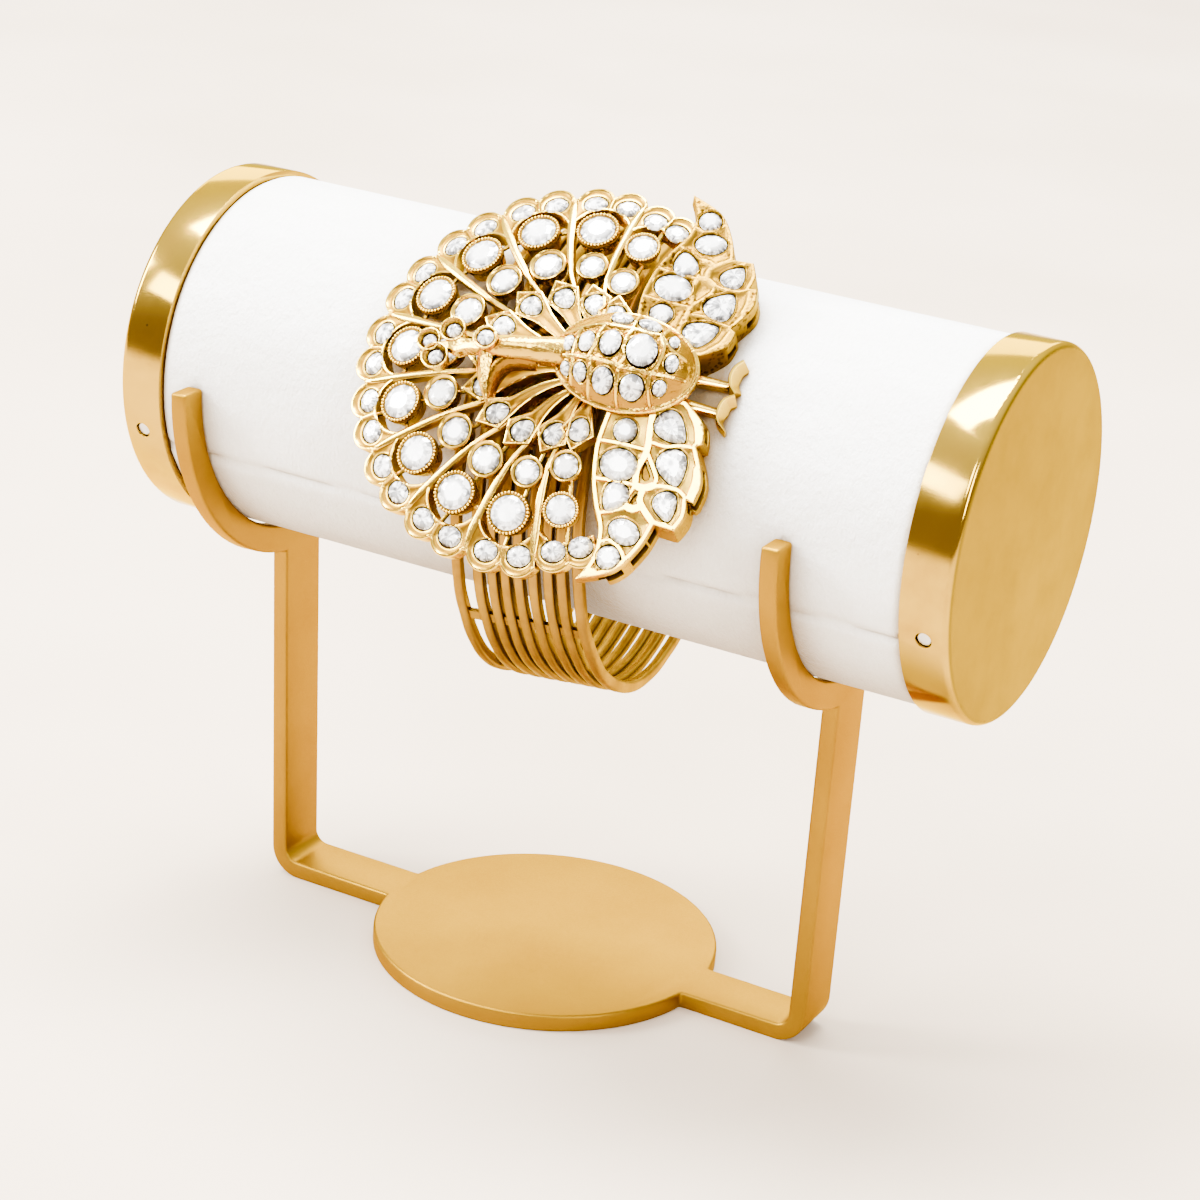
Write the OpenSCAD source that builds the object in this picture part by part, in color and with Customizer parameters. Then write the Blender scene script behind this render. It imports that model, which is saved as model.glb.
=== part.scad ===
// Kundan peacock cuff bracelet resting on a velvet roll stand.
// Millimetres. X runs along the roll, Y away from the viewer, Z up.
// The origin is the middle of the stand's round foot, on the table.

/* [Stand] */
// Diameter of the round foot
foot_d = 49.6; // [40:0.2:70]
// Thickness of the bent plate
plate_t = 2.5; // [2:0.1:4]
// Width of the strip that forms the arms and uprights
strip_w = 8.5; // [6:0.5:14]
// Inner radius of the bend between arm and upright
bend_r = 2; // [1.5:0.5:6]
// Outer face of the left upright at the table, from the middle
left_foot_x = 44.9; // [40:0.1:50]
// Outer face of the right upright at the table, from the middle
right_foot_x = 43.4; // [40:0.1:50]
// Outward lean of the left upright
left_lean = 2.2; // [0:0.1:4]
// Height of the roll's axis
axis_z = 79.7; // [60:0.1:110]
// Width of the cradle rim that carries the roll
cradle_rim = 4; // [3:0.5:8]
// Height of the cradle's tips above the roll's axis
tip_rise = 1.2; // [0:0.1:5]

/* [Roll] */
// Diameter of the velvet roll
roll_d = 48.8; // [40:0.2:56]
// Outer diameter of the polished end caps
cap_d = 50; // [42:0.2:58]
// Length of an end cap
cap_w = 6.6; // [4:0.1:12]
// Left end of the roll with its cap
roll_left = -58.9; // [-80:0.1:-52]
// Right end of the roll with its cap
roll_right = 64.9; // [52:0.1:80]
// Gap between neighbouring pieces
fit_gap = 0.15; // [0.1:0.05:0.3]

/* [Cuff band] */
// Inner diameter of the cuff
cuff_d = 60; // [57:0.5:66]
// Radial thickness of the rings
ring_t = 1.4; // [1:0.1:2]
// Width of one ring
ring_w = 1.7; // [1.2:0.1:2]
// Turn of the cuff on the roll, seen from above
cuff_yaw = 8; // [-8:0.5:8]
// Tilt of the cuff along the roll
cuff_tilt = -1.5; // [-2:0.5:2]

/* [Plaque] */
// Elevation of the plaque's face above the horizontal
face_elev = 42; // [30:1:60]
// Radius of the shallow dome that the plaque follows
dome_r = 90; // [80:1:150]
// Height of the plaque's face above the cuff's axis
face_h = 34.8; // [34.8:0.1:37]
// Radius of the row of large eye stones
eye_row_r = 20.2; // [20:0.1:21]
// Radius of the row of rim stones
rim_row_r = 25.2; // [25:0.1:26]
// Angle between neighbouring tail feathers
feather_step = 22.6; // [22:0.1:23]

/* [Stones] */
// Diameter of a large eye stone
eye_stone_d = 4.5; // [4:0.1:4.6]
// Diameter of a disc stone
disc_stone_d = 3.6; // [3:0.1:3.8]
// Diameter of a petal stone
petal_stone_d = 2.8; // [2.4:0.1:3]
// Height of a stone's table above its setting
crown_h = 0.5; // [0.3:0.05:0.7]
// Depth of a stone's pocket
pocket_h = 0.8; // [0.6:0.05:1]

/* [Hidden] */
// Feathers are numbered from -5, lowest, to 5, highest
feathers = [-5 : 5];
last_feather = 5;
last_feather_angle = 110;
fan_root = [-0.5, 0];
spine_aims = [[3.5, 0], [6.5, 0]];
disc_step = 5.6;
petal_step = 5.9;
lobe_angle = 5.15;
last_lobe_angle = 4.1;
last_border = 8.4;

// Heights above the dome that the large bezels' rims lie on
bezel_top = 0;
disc_top = -0.2;
petal_top = -0.4;
rib_top = -0.5;
rib_bottom = -2.2;
rim_top = -0.8;
fan_bottom = -3;

eye_bezel_d = 5.6;
eye_bezel_h = 2.8;
last_eye_scale = 0.82;
disc_bezel_d = 4.8;
disc_bezel_h = 2;
petal_h = 2.1;
small_disc_scale = 0.86;
// Kite-shaped rim of a petal: tip towards the disc, shoulder and waist
kite = [[2.7, 0], [0.5, 2.25], [-2.4, 1.1]];
// Width of a rib at the rim and at the petals
rib_w = [1.3, 0.7];
rib_from_r = 23;
// Pins: section, reach past the large bezel to the rim and to the ribs, heights
pin_w = 0.6;
pin_to_rim = 4.2;
pin_to_rib = 3.6;
pin_levels = [-1.6, -1.8];
// Rim: its inner edge, the steps between its lobes, a lobe's radius
rim_inner_r = 20.6;
rim_step_r = 26;
lobe_size = 2.6;
eye_notch_r = 3.9;
last_eye_notch_r = 3.5;
tile_lap = 0.2;
stone_room = 0.12;
seat_gap = 0.15;

// Cuff rings: the gap after each of the first eight, from the left
ring_gaps = [1.3, 0.3, 0.15, 0.2, 0.3, 0.4, 0.15, 0.5];
ring_count = len(ring_gaps) + 1;
function sum_to(v, n) = n <= 0 ? 0 : v[n - 1] + sum_to(v, n - 1);
band_w = ring_count * ring_w + sum_to(ring_gaps, len(ring_gaps));
cuff_drop = 4.2;
cuff_at = [2.3, 2.2, axis_z - cuff_drop];
plaque_at = [2.6, -3.0, face_h];
cuff_r = cuff_d / 2;
solder_angles = [30, 62, 205];

// Wing outline as strokes between sharp corners, each a smooth curve: x, y
wing_strokes = [
    [[9.6, 3.2], [9.0, 9.5], [12.2, 20.4], [10.6, 26.9]],
    [[10.6, 26.9], [14.9, 25.0], [17.3, 21.6], [18.3, 18.6]],
    [[18.3, 18.6], [20.9, 18.8]],
    [[20.9, 18.8], [21.7, 16.9], [21.5, 14.9]],
    [[21.5, 14.9], [22.4, 15.1]],
    [[22.4, 15.1], [22.7, 12.2], [21.0, 8.4]],
    [[21.0, 8.4], [21.7, 8.0]],
    [[21.7, 8.0], [21.1, 5.6], [18.4, 3.4]],
    [[18.4, 3.4], [13.0, 2.6], [9.6, 3.2]]
];
wing_mid = [15.5, 15];
wing_top = 1.5;
wing_field = 1.1;
wing_bottom = -1.8;
wing_skin = 1.3;
wing_wall = 0.8;
wing_lip = 0.6;
vein_w = 0.5;
// Wing stones: x, y, length, width, turn of the long axis, pear shape from 0 to 1
wing_stones = [
    [11.9, 8.3, 2.9, 2.9, 0, 0],
    [12.2, 12.5, 4.7, 3.9, 0, 0],
    [12.7, 16.4, 3.7, 3.2, 110, 0.5],
    [14.9, 20.2, 4.0, 3.0, 15, 0],
    [13.8, 23.6, 2.9, 2.9, 0, 0],
    [17.5, 6.9, 4.6, 3.6, 35, 0.6],
    [18.8, 11.5, 4.5, 3.8, 75, 0.6],
    [19.1, 16.2, 3.6, 3.0, 80, 0.6]
];
// Cell walls on the wing, as smooth lines: x, y
wing_veins = [
    [[15.0, 4.0], [15.3, 9.0], [15.6, 14.0], [17.9, 18.6]],
    [[9.3, 10.2], [15.2, 10.0]],
    [[9.6, 14.6], [15.4, 14.5]],
    [[11.3, 18.2], [14.6, 17.8], [16.2, 15.8]],
    [[12.4, 22.0], [14.9, 22.4], [15.9, 23.6]],
    [[15.4, 9.3], [18.6, 8.7], [21.0, 8.4]],
    [[15.9, 14.1], [18.6, 13.9], [21.5, 14.9]]
];
// Slots in the side wall: stroke and place along it, from 0 to 1
wing_slots = [[1, 0.16], [1, 0.4], [1, 0.66], [3, 0.35], [5, 0.2], [5, 0.5], [5, 0.8], [7, 0.4]];
slot_l = 2.2;
slot_h = 0.8;
slot_depth = 1.2;
slot_rise = 0.9;
// Recess under a wing over the last feather: inner and outer radius, half its angle
lap_r = [18, 32];
lap_half = 9.5;

// Bird's body: half an ellipsoid on the wings
body_at = [10.3, 0.5];
body_r = [9, 6.5, 4.7];
body_base = 1.95;
body_slope = 7;
// Body stones: x, y, size along x, size along y
body_stones = [
    [3.7, 0.3, 1.5, 2.1],
    [6.2, 0.6, 2.0, 2.8],
    [9.3, 0.9, 2.6, 3.5],
    [13.3, 0.8, 3.8, 4.4],
    [17.0, 0.4, 1.7, 2.3],
    [3.9, -2.9, 1.4, 1.9],
    [6.1, -3.3, 1.8, 2.5],
    [9.3, -3.9, 2.6, 3.4],
    [13.0, -3.9, 2.9, 3.4],
    [16.2, -3.0, 1.7, 2.1],
    [9.4, 5.0, 2.8, 2.1],
    [13.0, 4.9, 3.0, 2.2],
    [16.4, 3.5, 1.4, 1.9]
];
// Neck, head and beak: x, y, z, radius
neck_chart = [
    [6.5, 0.2, 4.6, 2.0],
    [3.4, -0.3, 4.6, 2.1],
    [0.2, -1.0, 5.3, 1.6],
    [-3.2, -1.3, 5.8, 1.45],
    [-5.9, -1.6, 5.7, 1.7],
    [-6.9, -3.4, 5.1, 1.35],
    [-6.4, -6.0, 4.1, 0.8],
    [-5.4, -8.3, 3.0, 0.2]
];
// Collets on the head and crest: x, y, height of the rim, outer radius, depth, stone
collets = [
    [-6.4, -1.5, 7.7, 1.5, 2.6, 2.1],
    [-15.0, -1.6, 4.6, 1.5, 2.2, 1.8],
    [-12.2, 0.2, 4.8, 1.7, 2.2, 1.9],
    [-13.5, -3.7, 4.7, 1.8, 2.2, 2.0]
];
collet_sink = 0.5;
collet_wall_h = 0.8;
collet_taper = 0.4;
// Crest stalk from the head to the collets: x, y, z, radius
stalk_chart = [[-6.5, -1.5, 5.4, 1.0], [-9.5, -1.6, 4.4, 0.8], [-12.9, -1.7, 3.5, 0.9]];

// Legs and feet on the dome: x, y
legs = [[[16.6, 1.3], [22.6, 1.5]], [[16.6, -2.1], [22.3, -2.3]]];
toes = [[23.5, 4.9], [22.6, 1.5], [24.0, -0.1], [22.3, -2.3], [23.8, -4.7]];
leg_w = [0.9, 0.8];
toe_w = 0.8;
leg_top = 0.7;
toe_top = 1.3;
foot_bottom = 0;

wing_stone_total = len(wing_stones);
body_stone_total = len(body_stones);

// Point at a distance and an angle
function polar(r, a) = [r * cos(a), r * sin(a)];
// Point a distance d from a on the way to b
function toward(a, b, d) = a + d * (b - a) / norm(b - a);
// Height of the dome raised by h
function dome_z(p, h) = sqrt(pow(dome_r + h, 2) - p.x * p.x - p.y * p.y) - dome_r;
// Point of a smooth curve through the stretch b to c, between neighbours a and d
function spline_point(a, b, c, d, t) =
    0.5 * (2 * b + (c - a) * t + (2 * a - 5 * b + 4 * c - d) * t * t + (3 * b - a - 3 * c + d) * t * t * t);
// Smooth curve through all points, with n steps a stretch
function smooth(points, n) = let (last = len(points) - 1) concat(
    [for (i = [0 : last - 1], s = [0 : n - 1])
        spline_point(points[max(i - 1, 0)], points[i], points[i + 1], points[min(i + 2, last)], s / n)],
    [points[last]]);

// Tail feathers
function is_last(k) = abs(k) == last_feather;
function feather_angle(k) = 180 - sign(k) * (is_last(k) ? last_feather_angle : abs(k) * feather_step);
function eye_at(k) = fan_root + polar(eye_row_r - (is_last(k) ? 0.4 : 0), feather_angle(k));
function disc_at(k) = toward(eye_at(k), spine_aims[0], disc_step);
function petal_at(k) = toward(disc_at(k), spine_aims[1], petal_step - (is_last(k) ? 0.9 : 0));
function petal_turn(k) = let (v = disc_at(k) - petal_at(k)) atan2(v.y, v.x);
function eye_scale(k) = is_last(k) ? last_eye_scale : 1;
function disc_scale(k) = abs(k) > 3 ? small_disc_scale : 1;
// Angle from feather k's middle to its border with feather n
function border(k, n) = abs(n) > last_feather ? sign(k) * -last_border : (feather_angle(n) - feather_angle(k)) / 2;
function lobe_r(k) = rim_row_r - (is_last(k) ? 0.6 : 0);
function lobe_half(k) = is_last(k) ? last_lobe_angle : lobe_angle;

// Closed surface over sections with equally many points, each counted the same way round
module skin(sections) {
    n = len(sections[0]);
    last = (len(sections) - 1) * n;
    polyhedron(
        points = [for (s = sections) each s],
        faces = concat(
            [[for (j = [n - 1 : -1 : 0]) j]],
            [[for (j = [0 : n - 1]) last + j]],
            [for (i = [0 : n : last - n], j = [0 : n - 1]) [i + j, i + (j + 1) % n, i + n + j]],
            [for (i = [0 : n : last - n], j = [0 : n - 1]) [i + n + j, i + (j + 1) % n, i + n + (j + 1) % n]]),
        convexity = 6);
}

// Bar along points on the dome, with a flat underside and a ridge on top
module ridge_bar(path, width_from, width_to, top, bottom) {
    last = len(path) - 1;
    bevel = 0.35;
    skin([for (i = [0 : last])
        let (
            a = path[max(i - 1, 0)],
            b = path[min(i + 1, last)],
            half = (width_from + (width_to - width_from) * i / last) / 2,
            side = [a.y - b.y, b.x - a.x] * half / norm(b - a))
        [for (c = [[-1, bottom], [-1, top - bevel], [0, top], [1, top - bevel], [1, bottom]])
            let (q = path[i] + c[0] * side) [q.x, q.y, dome_z(q, c[1])]]]);
}

// Round bar along a chart of x, y, z, radius
module round_bar(chart, n, sides) {
    path = smooth(chart, n);
    last = len(path) - 1;
    skin([for (i = [0 : last])
        let (
            p = path[i],
            way = path[min(i + 1, last)] - path[max(i - 1, 0)],
            t = [way.x, way.y, way.z] / norm([way.x, way.y, way.z]),
            u = cross([0, 0, 1], t) / norm(cross([0, 0, 1], t)),
            v = cross(t, u))
        [for (j = [0 : sides - 1])
            [p.x, p.y, p.z] + p[3] * (cos(360 * j / sides) * v + sin(360 * j / sides) * u)]]);
}

// Place children on the dome at p, raised by h, upright on its surface
module on_dome(p, h = 0, turn = 0)
    translate([p.x, p.y, dome_z(p, h)])
        rotate(a = asin(norm(p) / (dome_r + h)), v = norm(p) > 0 ? [-p.y, p.x, 0] : [1, 0, 0])
            rotate([0, 0, turn]) children();

// Cuff's own frame: X along its axis, the middle of the band at the origin
module in_cuff()
    translate(cuff_at) rotate([0, cuff_tilt, cuff_yaw]) children();

// Plaque's own frame: X along the bird, Z out of the plaque's face
module in_plaque()
    in_cuff() rotate([90 - face_elev, 0, 0]) translate(plaque_at) children();

// Frame of a wing's flat face, for the lower wing mirrored
module in_wing(lower)
    in_plaque() mirror([0, lower ? 1 : 0, 0])
        on_dome(wing_mid) translate([-wing_mid.x, -wing_mid.y, 0]) children();

// Corner i of n on an oval or pear outline
function stone_corner(l, w, pear, i, n) =
    let (t = 360 * i / n)
    [l / 2 * cos(t), w / 2 * sin(t) * (1 - pear * (1 + cos(t)) / 2) / (1 - 0.4 * pear)];
function stone_ring(l, w, pear, n, size, z) =
    [for (i = [n - 1 : -1 : 0]) let (q = stone_corner(l, w, pear, i, n) * size) [q.x, q.y, z]];

// Cut stone: flat back, girdle, n crown facets and a table; the girdle is at z = 0
module cut_stone(l, w, n, pear = 0)
    skin([stone_ring(l, w, pear, n, 0.92, seat_gap - pocket_h + 0.1),
        stone_ring(l, w, pear, n, 1, 0),
        stone_ring(l, w, pear, n, 0.6, crown_h)]);

// Flat-backed small stone whose crown starts at its back
module flat_stone(l, w, n, pear = 0)
    skin([stone_ring(l, w, pear, n, 1, seat_gap - pocket_h + 0.1),
        stone_ring(l, w, pear, n, 0.6, crown_h - 0.1)]);

// Pocket that a stone sits in, cut down from z = 0
module pocket(l, w, n, pear = 0)
    translate([0, 0, -pocket_h])
        linear_extrude(pocket_h + 2)
            polygon([for (i = [0 : n - 1])
                stone_corner(l + 2 * stone_room, w + 2 * stone_room, pear, i, n)]);

// Stand
bend_outer_r = bend_r + plate_t;
cradle_bore_r = roll_d / 2 + fit_gap;
cradle_stem = 12;

// Half ring with flat tips and a short stem, drawn round the roll's axis
module cradle_outline() difference() {
    union() {
        circle(r = cradle_bore_r + cradle_rim, $fn = 96);
        translate([-strip_w / 2, -cradle_bore_r - cradle_stem]) square([strip_w, cradle_stem]);
    }
    circle(r = cradle_bore_r, $fn = 96);
    translate([-2 * roll_d, tip_rise]) square([4 * roll_d, 2 * roll_d]);
}

// Side view of one arm, its bend and its upright: x outward, y up
module strip_outline(foot_x, lean, rise) {
    square([foot_x - bend_outer_r, plate_t]);
    translate([foot_x - bend_outer_r, bend_outer_r]) {
        difference() {
            circle(r = bend_outer_r, $fn = 48);
            circle(r = bend_r, $fn = 48);
            translate([-2 * bend_outer_r, -2 * bend_outer_r]) square([2 * bend_outer_r, 4 * bend_outer_r]);
            rotate(-lean) translate([-2 * bend_outer_r, 0]) square([4 * bend_outer_r, 2 * bend_outer_r]);
        }
        rotate(-lean) translate([bend_r, 0]) square([plate_t, rise - cradle_bore_r - 1]);
    }
}

module side_frame(foot_x, lean) {
    rise = (axis_z - bend_outer_r) / cos(lean);
    translate([0, strip_w / 2, 0]) rotate([90, 0, 0]) linear_extrude(strip_w) strip_outline(foot_x, lean, rise);
    translate([foot_x - bend_outer_r, 0, bend_outer_r]) rotate([0, lean, 0])
        translate([bend_r, 0, rise]) rotate([90, 0, 90]) linear_extrude(plate_t) cradle_outline();
}

module stand() color("goldenrod") {
    cylinder(h = plate_t, d = foot_d, $fn = 96);
    side_frame(right_foot_x, 0);
    mirror([1, 0, 0]) side_frame(left_foot_x, left_lean);
}

// Roll and its end caps
cap_wall = 1.2;
cap_end_t = 1.5;
cap_edge_r = 1;
screw_d = 1.9;
screw_drop = 17;

module along_roll(x) translate([x, 0, axis_z]) rotate([0, 90, 0]) children();

module roll() color("white") {
    spigot_d = cap_d - 2 * cap_wall - 2 * fit_gap;
    along_roll(roll_left + cap_w + fit_gap)
        cylinder(h = roll_right - roll_left - 2 * cap_w - 2 * fit_gap, d = roll_d, $fn = 96);
    along_roll(roll_left + cap_end_t + fit_gap)
        cylinder(h = roll_right - roll_left - 2 * cap_end_t - 2 * fit_gap, d = spigot_d, $fn = 96);
}

// Cap with its closed end at x = 0, open towards +X
module cap(hole) difference() {
    rotate([0, 90, 0]) rotate_extrude($fn = 96) difference() {
        union() {
            square([cap_d / 2 - cap_edge_r, cap_w]);
            translate([0, cap_edge_r]) square([cap_d / 2, cap_w - cap_edge_r]);
            translate([cap_d / 2 - cap_edge_r, cap_edge_r]) circle(r = cap_edge_r, $fn = 32);
        }
        translate([-1, cap_end_t]) square([cap_d / 2 - cap_wall + 1, cap_w]);
    }
    at_screw() cylinder(h = cap_d, d = screw_d + 2 * fit_gap, $fn = 32);
}

// Axis of the cap's screw, out through the wall
module at_screw() translate([cap_w / 2, 0, 0]) rotate([90 + screw_drop, 0, 0]) children();

module cap_screw() at_screw() translate([0, 0, cap_d / 2 - cap_wall])
    cylinder(h = 0.9, d = screw_d, $fn = 32);

module at_cap(right) translate([right ? roll_right : roll_left, 0, axis_z])
    mirror([right ? 1 : 0, 0, 0]) children();

module cap_left() color("gold") at_cap(false) cap();
module cap_right() color("gold") at_cap(true) cap();
module cap_screw_left() color("silver") at_cap(false) cap_screw();
module cap_screw_right() color("silver") at_cap(true) cap_screw();

// Cuff band: rings side by side, joined by short solder bars
module ring_section() {
    edge = 0.25;
    polygon([
        [cuff_r, edge], [cuff_r + edge, 0],
        [cuff_r + ring_t - edge, 0], [cuff_r + ring_t, edge],
        [cuff_r + ring_t, ring_w - edge], [cuff_r + ring_t - edge, ring_w],
        [cuff_r + edge, ring_w], [cuff_r, ring_w - edge]]);
}

module cuff_band() color("goldenrod") in_cuff() {
    for (i = [0 : ring_count - 1])
        translate([-band_w / 2 + i * ring_w + sum_to(ring_gaps, i), 0, 0])
            rotate([0, 90, 0]) rotate_extrude($fn = 120) ring_section();
    for (a = solder_angles)
        rotate([a, 0, 0])
            translate([-band_w / 2 + ring_w / 2, -cuff_r - ring_t + 0.4, -0.8])
                cube([band_w - ring_w, ring_t - 0.8, 1.6]);
}

// Tail fan
module rim_outline(k) {
    reach = 40;
    low = border(k, k + 1) - tile_lap;
    high = border(k, k - 1) + tile_lap;
    translate([-rim_row_r, 0]) difference() {
        intersection() {
            polygon([[0, 0], polar(reach, low), polar(reach, 0), polar(reach, high)]);
            union() {
                circle(r = rim_step_r - (is_last(k) ? 0.5 : 0), $fn = 48);
                for (s = [-1, 1])
                    translate(polar(lobe_r(k), s * lobe_half(k))) circle(r = lobe_size, $fn = 12);
            }
        }
        circle(r = rim_inner_r, $fn = 48);
        translate([eye_row_r, 0]) circle(r = is_last(k) ? last_eye_notch_r : eye_notch_r, $fn = 20);
    }
}

module at_rim(k) on_dome(fan_root + polar(rim_row_r, feather_angle(k)), 0, feather_angle(k)) children();

module rim_tile(k) at_rim(k)
    translate([0, 0, fan_bottom]) linear_extrude(rim_top - fan_bottom) rim_outline(k);

// Rim stone s = -1 or 1 of feather k
rim_stone_l = 3.2;
rim_stone_w = 2.7;
module at_rim_stone(k, s) at_rim(k)
    translate(concat(polar(lobe_r(k), s * lobe_half(k)) - [rim_row_r, 0], rim_top))
        rotate([0, 0, 90 + s * lobe_half(k)]) children();

module bezel(d, h, n) translate([0, 0, -h]) linear_extrude(h) circle(d = d, $fn = n);

// Round bezel whose lower part tapers like a cup
cup_wall_h = 0.9;
cup_taper = 0.9;
module cup(d, h, n) hull() {
    base_t = 0.1;
    bezel(d, cup_wall_h, n);
    translate([0, 0, base_t - h]) bezel(d - cup_taper, base_t, n);
}

module at_eye(k) on_dome(eye_at(k)) translate([0, 0, bezel_top]) scale(eye_scale(k)) children();
module at_disc(k) on_dome(disc_at(k)) translate([0, 0, disc_top]) scale(disc_scale(k)) children();
module at_petal(k) on_dome(petal_at(k), 0, petal_turn(k)) translate([0, 0, petal_top]) children();

// Kite-shaped cell with a long tail towards the bird
module petal_cell(k) {
    tail = [hub_r - 0.6 - norm(petal_at(k) - hub_at), 0.35];
    side = concat(kite, [tail]);
    translate([0, 0, -petal_h]) linear_extrude(petal_h)
        polygon(concat(side, [for (i = [len(side) - 1 : -1 : 1]) [side[i].x, -side[i].y]]));
}

// Rib between feathers k and k + 1
module rib(k) {
    a = (feather_angle(k) + feather_angle(k + 1)) / 2;
    start = fan_root + polar(rib_from_r, a);
    mid = (disc_at(k) + disc_at(k + 1)) / 2;
    end = toward((petal_at(k) + petal_at(k + 1)) / 2, mid, -0.6);
    ridge_bar(smooth([start, mid, end], 2), rib_w[0], rib_w[1], rib_top, rib_bottom);
}

// Square pin on the dome from a to b
module pin(a, b, h) {
    span = b - a;
    on_dome((a + b) / 2, h, atan2(span.y, span.x))
        translate([-norm(span) / 2, -pin_w / 2, -pin_w / 2]) cube([norm(span), pin_w, pin_w]);
}

// One pin holds a feather's cells in line, the other the large bezel across
module cell_pins(k) {
    eye = eye_at(k);
    out = polar(1, feather_angle(k));
    side = pin_to_rib * [-out.y, out.x];
    pin(toward(petal_at(k), disc_at(k), kite[0].x - 0.9), eye + pin_to_rim * out, pin_levels[0]);
    pin(eye - side, eye + side, pin_levels[1]);
}

hub_at = [7.2, 0];
hub_r = 3.6;
hub_top = 2.2;

module tail_fan() color("goldenrod") in_plaque() difference() {
    union() {
        on_dome(hub_at, fan_bottom) cylinder(h = hub_top - fan_bottom, r = hub_r, $fn = 24);
        for (k = feathers) {
            rim_tile(k);
            at_eye(k) cup(eye_bezel_d, eye_bezel_h, 12);
            at_disc(k) bezel(disc_bezel_d, disc_bezel_h, 12);
            at_petal(k) petal_cell(k);
            cell_pins(k);
        }
        for (k = [-5 : 4]) rib(k);
    }
    for (k = feathers) {
        at_eye(k) pocket(eye_stone_d, eye_stone_d, 10);
        at_disc(k) pocket(disc_stone_d, disc_stone_d, 8);
        at_petal(k) pocket(petal_stone_d, petal_stone_d, 8);
        for (s = [-1, 1]) at_rim_stone(k, s) pocket(rim_stone_l, rim_stone_w, 8);
    }
}

// Wings
wing_outline = [for (s = wing_strokes) let (c = smooth(s, len(s) > 2 ? 3 : 1)) for (i = [0 : len(c) - 2]) c[i]];

// Flat bar of width w along a smooth line
module vein(line, w) {
    c = smooth(line, 2);
    for (i = [0 : len(c) - 2])
        hull() {
            translate(c[i]) circle(d = w, $fn = 4);
            translate(c[i + 1]) circle(d = w, $fn = 4);
        }
}

module wing_slot(slot) {
    c = smooth(wing_strokes[slot[0]], 4);
    i = floor(slot[1] * (len(c) - 1));
    span = c[i + 1] - c[i];
    translate(concat((c[i] + c[i + 1]) / 2, wing_bottom + slot_rise))
        rotate([0, 0, atan2(span.y, span.x)])
            translate([-slot_l / 2, -slot_depth, 0]) cube([slot_l, 2 * slot_depth, slot_h]);
}

module wing() difference() {
    union() {
        translate([0, 0, wing_bottom]) linear_extrude(wing_field - wing_bottom) polygon(wing_outline);
        translate([0, 0, wing_field - 0.1]) linear_extrude(wing_top - wing_field + 0.1) {
            difference() {
                polygon(wing_outline);
                offset(delta = -wing_lip) polygon(wing_outline);
            }
            intersection() {
                polygon(wing_outline);
                for (v = wing_veins) vein(v, vein_w);
            }
        }
    }
    translate([0, 0, wing_bottom - 1]) linear_extrude(wing_field - wing_skin - wing_bottom + 1)
        offset(delta = -wing_wall) polygon(wing_outline);
    for (s = wing_stones) at_wing_stone(s) pocket(s[2], s[3], 8, s[5]);
    for (s = wing_slots) wing_slot(s);
}

module at_wing_stone(s) translate([s[0], s[1], wing_field]) rotate([0, 0, s[4]]) children();

// Step in the wing's underside, where it laps over the last feather
module lap_recess() at_rim(last_feather) translate([-rim_row_r, 0, fan_bottom - 2])
    linear_extrude(rim_top + fit_gap - fan_bottom + 2)
        polygon([polar(lap_r[0], -lap_half), polar(lap_r[1], -lap_half),
            polar(lap_r[1], lap_half), polar(lap_r[0], lap_half)]);

module wing_piece(lower) color("goldenrod") difference() {
    in_wing(lower) wing();
    in_plaque() mirror([0, lower ? 1 : 0, 0]) lap_recess();
}

module wing_upper() wing_piece(false);
module wing_lower() wing_piece(true);

// Bird
function body_lift(x) = body_base - (x - body_at.x) * tan(body_slope);
function body_up(x, y) = let (u = (x - body_at.x) / body_r.x, v = (y - body_at.y) / body_r.y)
    sqrt(max(0, 1 - u * u - v * v));
function body_surface(x, y) = [x, y, body_lift(x) + body_r.z * body_up(x, y)];
function body_normal(x, y) = [(x - body_at.x) / pow(body_r.x, 2) + tan(body_slope) / body_r.z * body_up(x, y),
    (y - body_at.y) / pow(body_r.y, 2), body_up(x, y) / body_r.z];

module body_dome() {
    rings = 6;
    sides = 18;
    skin([for (i = [0 : rings])
        let (a = i < rings ? 90 * i / rings : 88)
        [for (j = [sides - 1 : -1 : 0])
            let (
                x = body_at.x + body_r.x * cos(a) * cos(360 * j / sides),
                y = body_at.y + body_r.y * cos(a) * sin(360 * j / sides))
            [x, y, body_lift(x) + body_r.z * sin(a)]]]);
}

// Place children on the body at x, y, upright on its surface
module on_body(x, y) {
    n = body_normal(x, y);
    translate(body_surface(x, y)) rotate([0, acos(n.z / norm(n)), atan2(n.y, n.x)])
        rotate([0, 0, -atan2(n.y, n.x)]) children();
}

// Tapered cup for a stone on the head or crest
module collet(c) translate([c[0], c[1], c[2] - c[4]]) hull() {
    translate([0, 0, c[4] - collet_wall_h]) linear_extrude(collet_wall_h) circle(r = c[3], $fn = 12);
    linear_extrude(0.1) circle(r = c[3] - collet_taper, $fn = 12);
}

module bird() color("goldenrod") in_plaque() difference() {
    union() {
        body_dome();
        round_bar(neck_chart, 2, 10);
        round_bar(stalk_chart, 2, 8);
        for (c = collets) collet(c);
    }
    for (c = collets) translate([c[0], c[1], c[2] - collet_sink]) pocket(c[5], c[5], 8);
    for (s = body_stones) on_body(s[0], s[1]) pocket(s[2], s[3], 8);
}

// Legs and feet
module feet() color("goldenrod") in_plaque() {
    for (leg = legs) ridge_bar(leg, leg_w[0], leg_w[1], leg_top, foot_bottom);
    ridge_bar(smooth(toes, 2), toe_w, toe_w, toe_top, foot_bottom);
}

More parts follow.
